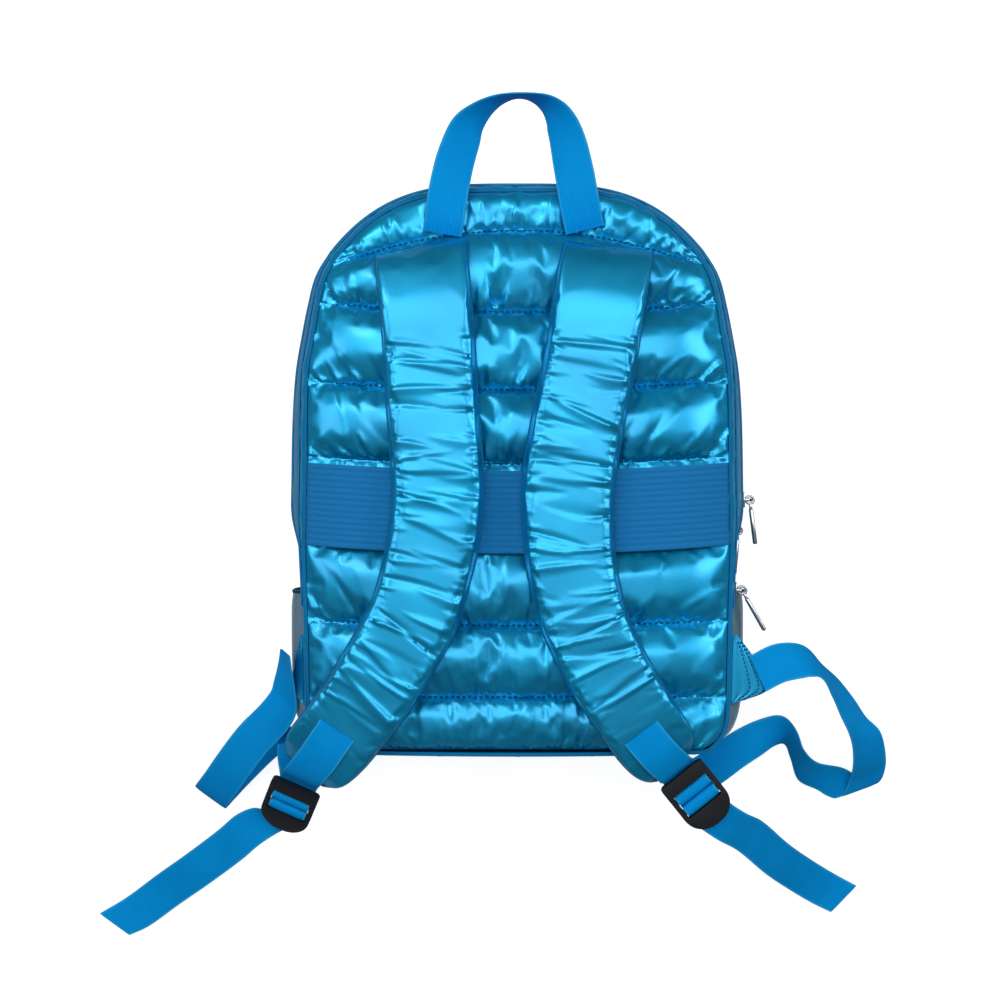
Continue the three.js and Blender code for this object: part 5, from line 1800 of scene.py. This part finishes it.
def lower_stations(start: tuple[float, float], loop: np.ndarray, tail: np.ndarray, buckle: LadderBuckle,
                   sign: int) -> np.ndarray:
    """Stations of a lower strap: from its wing round to its buckle and out to its loose end."""
    turn_back = -180 if sign > 0 else 0
    thread = buckle.threaded(buckle.lower_thread(), buckle.turn + turn_back)
    sewn = np.array([start[0] * HALF_WIDTH, start[1] * HALF_LENGTH])
    swung = sewn + (thread[0, :2] - sewn) * loop[:, :1] + loop[:, 1:3] * LOOP_REACH
    nose = buckle.place(buckle.length, 0)
    loose = nose[:2] + tail[:, :2] * TAIL_REACH
    return np.vstack([
        np.column_stack([swung, loop[:, 3] * 100, loop[:, 4:]]),
        thread,
        np.column_stack([loose, tail[:, 2] * 100, tail[:, 3] + turn_back, tail[:, 4]]),
    ])


@dataclass
class Studio:
    """A camera straight above, a pale floor and large soft lights, the main one beyond the top."""

    camera_place: tuple[float, float, float] = (-0.0135, -0.022, 1.415)
    lens_mm: float = 62.4
    sensor_mm: float = 36.0
    floor_code: str = "#A8ACB0"
    floor_glow: float = 0.88

    def build(self) -> None:
        """Sets up the camera, the floor, the lights and the world."""
        self.camera()
        self.floor()
        self.lights()

    def camera(self) -> None:
        """Makes the scene's camera; it looks straight down with +Y up in the picture."""
        data = bpy.data.cameras.new("camera")
        data.lens = self.lens_mm
        data.sensor_width = self.sensor_mm
        data.sensor_fit = "HORIZONTAL"
        camera = bpy.data.objects.new("camera", data)
        camera.location = self.camera_place
        bpy.context.scene.collection.objects.link(camera)
        bpy.context.scene.camera = camera

    def floor(self) -> None:
        """Lays a plain white floor that glows a little, so that it stays white in the picture."""
        bpy.ops.object.select_all(action="DESELECT")
        bpy.ops.mesh.primitive_plane_add(size=12, location=(0, 0, 0))
        floor = bpy.context.object
        floor.name = "floor"
        material, tree, output = new_material("floor_white")
        seen = add(tree, "LightPath").outputs["Is Camera Ray"]
        matt = add(tree, "BsdfDiffuse", {"Color": srgb(self.floor_code)})
        glow = add(tree, "Emission", {"Color": srgb("#FFFFFF"), "Strength": self.floor_glow}, {})
        lit = add(tree, "AddShader", links={0: matt.outputs[0], 1: glow.outputs[0]})
        mix = add(tree, "MixShader", links={0: seen, 1: matt.outputs[0], 2: lit.outputs[0]})
        tree.links.new(mix.outputs[0], output.inputs["Surface"])
        floor.data.materials.append(material)

    def area(self, name: str, place: tuple[float, float, float], size: tuple[float, float],
             power: float, code: str) -> None:
        """Hangs a flat light that faces the bag's middle."""
        data = bpy.data.lights.new(name, "AREA")
        data.shape = "RECTANGLE"
        data.size, data.size_y = size
        data.energy = power
        data.color = srgb(code)[:3]
        light = bpy.data.objects.new(name, data)
        light.location = place
        aim = Vector((0, 0, 0.1)) - Vector(place)
        light.rotation_euler = aim.to_track_quat("-Z", "Y").to_euler()
        bpy.context.scene.collection.objects.link(light)

    def lights(self) -> None:
        """Hangs the lights and sets the world and the picture's tones."""
        self.area("key_softbox", (-0.75, 0.85, 1.5), (0.5, 0.5), 5, "#FFFFFF")
        self.area("side_softbox", (1.6, 0.4, 1.5), (0.8, 0.8), 11, "#F4F8FF")
        self.area("left_softbox", (-1.6, 0.3, 1.5), (0.8, 0.8), 7, "#F4F8FF")
        self.area("overhead", (0.0, 0.45, 2.4), (2.2, 0.95), 17, "#FFFFFF")
        scene = bpy.context.scene
        world = bpy.data.worlds.new("studio_white")
        scene.world = world
        world.use_nodes = True
        tree = world.node_tree
        background = tree.nodes["Background"]
        height = add(tree, "SeparateXYZ", links={0: add(tree, "TexCoord").outputs["Generated"]}).outputs["Z"]
        shade = colour_ramp(tree, height, [(0.0, "#5A5E62"), (0.5, "#5E6266"), (0.8, "#74787C"), (0.97, "#A8ACB0")])
        seen = add(tree, "LightPath").outputs["Is Camera Ray"]
        colour = add(tree, "Mix", {"data_type": "RGBA", 7: srgb("#FFFFFF")}, {0: seen, 6: shade})
        tree.links.new(colour.outputs[2], background.inputs["Color"])
        background.inputs["Strength"].default_value = 1.0
        scene.view_settings.view_transform = "Standard"


@dataclass
class Backpack:
    """The whole dressed bag."""

    def panels(self) -> None:
        """Builds both quilted panels."""
        for panel in (
            QuiltedPanel(Side.BACK, "back_panel", BACK_SEAMS, seed=11),
            QuiltedPanel(Side.FRONT, "front_panel", FRONT_SEAMS, seed=12),
        ):
            piece = dress(panel.build(), replaces=(panel.node,))
            dress(panel.stitches(piece))

    def walls(self) -> None:
        """Builds the gusset, its zips and its pockets."""
        gusset = Gusset()
        wall = dress(gusset.build(), replaces=(gusset.node,))
        for node, level, end_row in (("zip_back", 6, 10), ("zip_middle", 3, 8), ("zip_front", 1, 9)):
            zipper = Zip(node, level, end_row)
            dress(zipper.build(), replaces=(node,))
            dress(zipper.teeth())
        for side, sign in (("left", -1), ("right", 1)):
            pocket = SidePocket(f"side_pocket_{side}", sign)
            net = dress(pocket.build(), replaces=(pocket.node,))
            dress(pocket.hem())

    def straps(self) -> None:
        """Builds the pads, the band, the handle and all webbing."""
        pads = (ShoulderPad("shoulder_pad_left", LEFT_PAD, 0.13, 21), ShoulderPad("shoulder_pad_right", RIGHT_PAD, 0.07, 22))
        for pad in pads:
            piece = dress(pad.build(), replaces=(pad.node,))
            dress(pad.binding())
        band = LuggageBand("luggage_band", BACK_SEAMS[3], BACK_SEAMS[4])
        elastic = dress(band.build(), replaces=(band.node,))
        handle = Ribbon("carry_handle", handle_stations(), thickness=HANDLE_THICKNESS, across=67, ribs=11, rib_reach=34)
        dress(handle.build(), replaces=("carry_handle",))
        for side, rows in (("left", LEFT_ADAPTER), ("right", RIGHT_ADAPTER)):
            node = f"adapter_strap_{side}"
            dress(Ribbon(node, adapter_stations(rows, BUCKLES[side])).build(), replaces=(node,))
        for side, sign, start, loop, tail in (("left", -1, LEFT_START, LEFT_LOOP, LEFT_TAIL),
                                              ("right", 1, RIGHT_START, RIGHT_LOOP, RIGHT_TAIL)):
            node = f"lower_strap_{side}"
            stations = lower_stations(start, loop, tail, BUCKLES[side], sign)
            dress(Ribbon(node, stations).build(), replaces=(node,))
        for side, sign, spread, droop in (("left", -1, 0.36, 0.4), ("right", 1, 1.0, 0.1)):
            wing = Wing(f"wing_{side}", sign, spread, droop)
            cloth = dress(wing.build(), replaces=(wing.node,))
            dress(wing.stitches(cloth))

    def hardware(self) -> None:
        """Builds the buckles, sliders and pulls."""
        for buckle in BUCKLES.values():
            dress(build_buckle(buckle), replaces=(buckle.node,))
        for runner in (
            ZipRunner(1, (182.897, -21.941, 51.8), 0.03, 7.0),
            ZipRunner(2, (176.641, -46.281, 30.92), -6.98, 2.0),
            ZipRunner(3, (171.385, -90.970, 90.95), -2.66, 32.0),
        ):
            number = runner.number
            dress(runner.build_slider(), replaces=(f"zip_slider_{number}",))
            dress(runner.build_pull(), body=f"pull_{number}", replaces=(f"zip_pull_{number}",))

    def build(self) -> None:
        """Builds every sub-assembly in turn."""
        for step in (self.panels, self.walls, self.straps, self.hardware):
            LOG.info("building %s", step.__name__)
            step()


def main() -> None:
    """Loads the frame, dresses it and sets up the studio."""
    logging.basicConfig(level=logging.INFO, format="%(name)s %(message)s")
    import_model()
    Backpack().build()
    Studio().build()


if __name__ == "__main__":
    main()
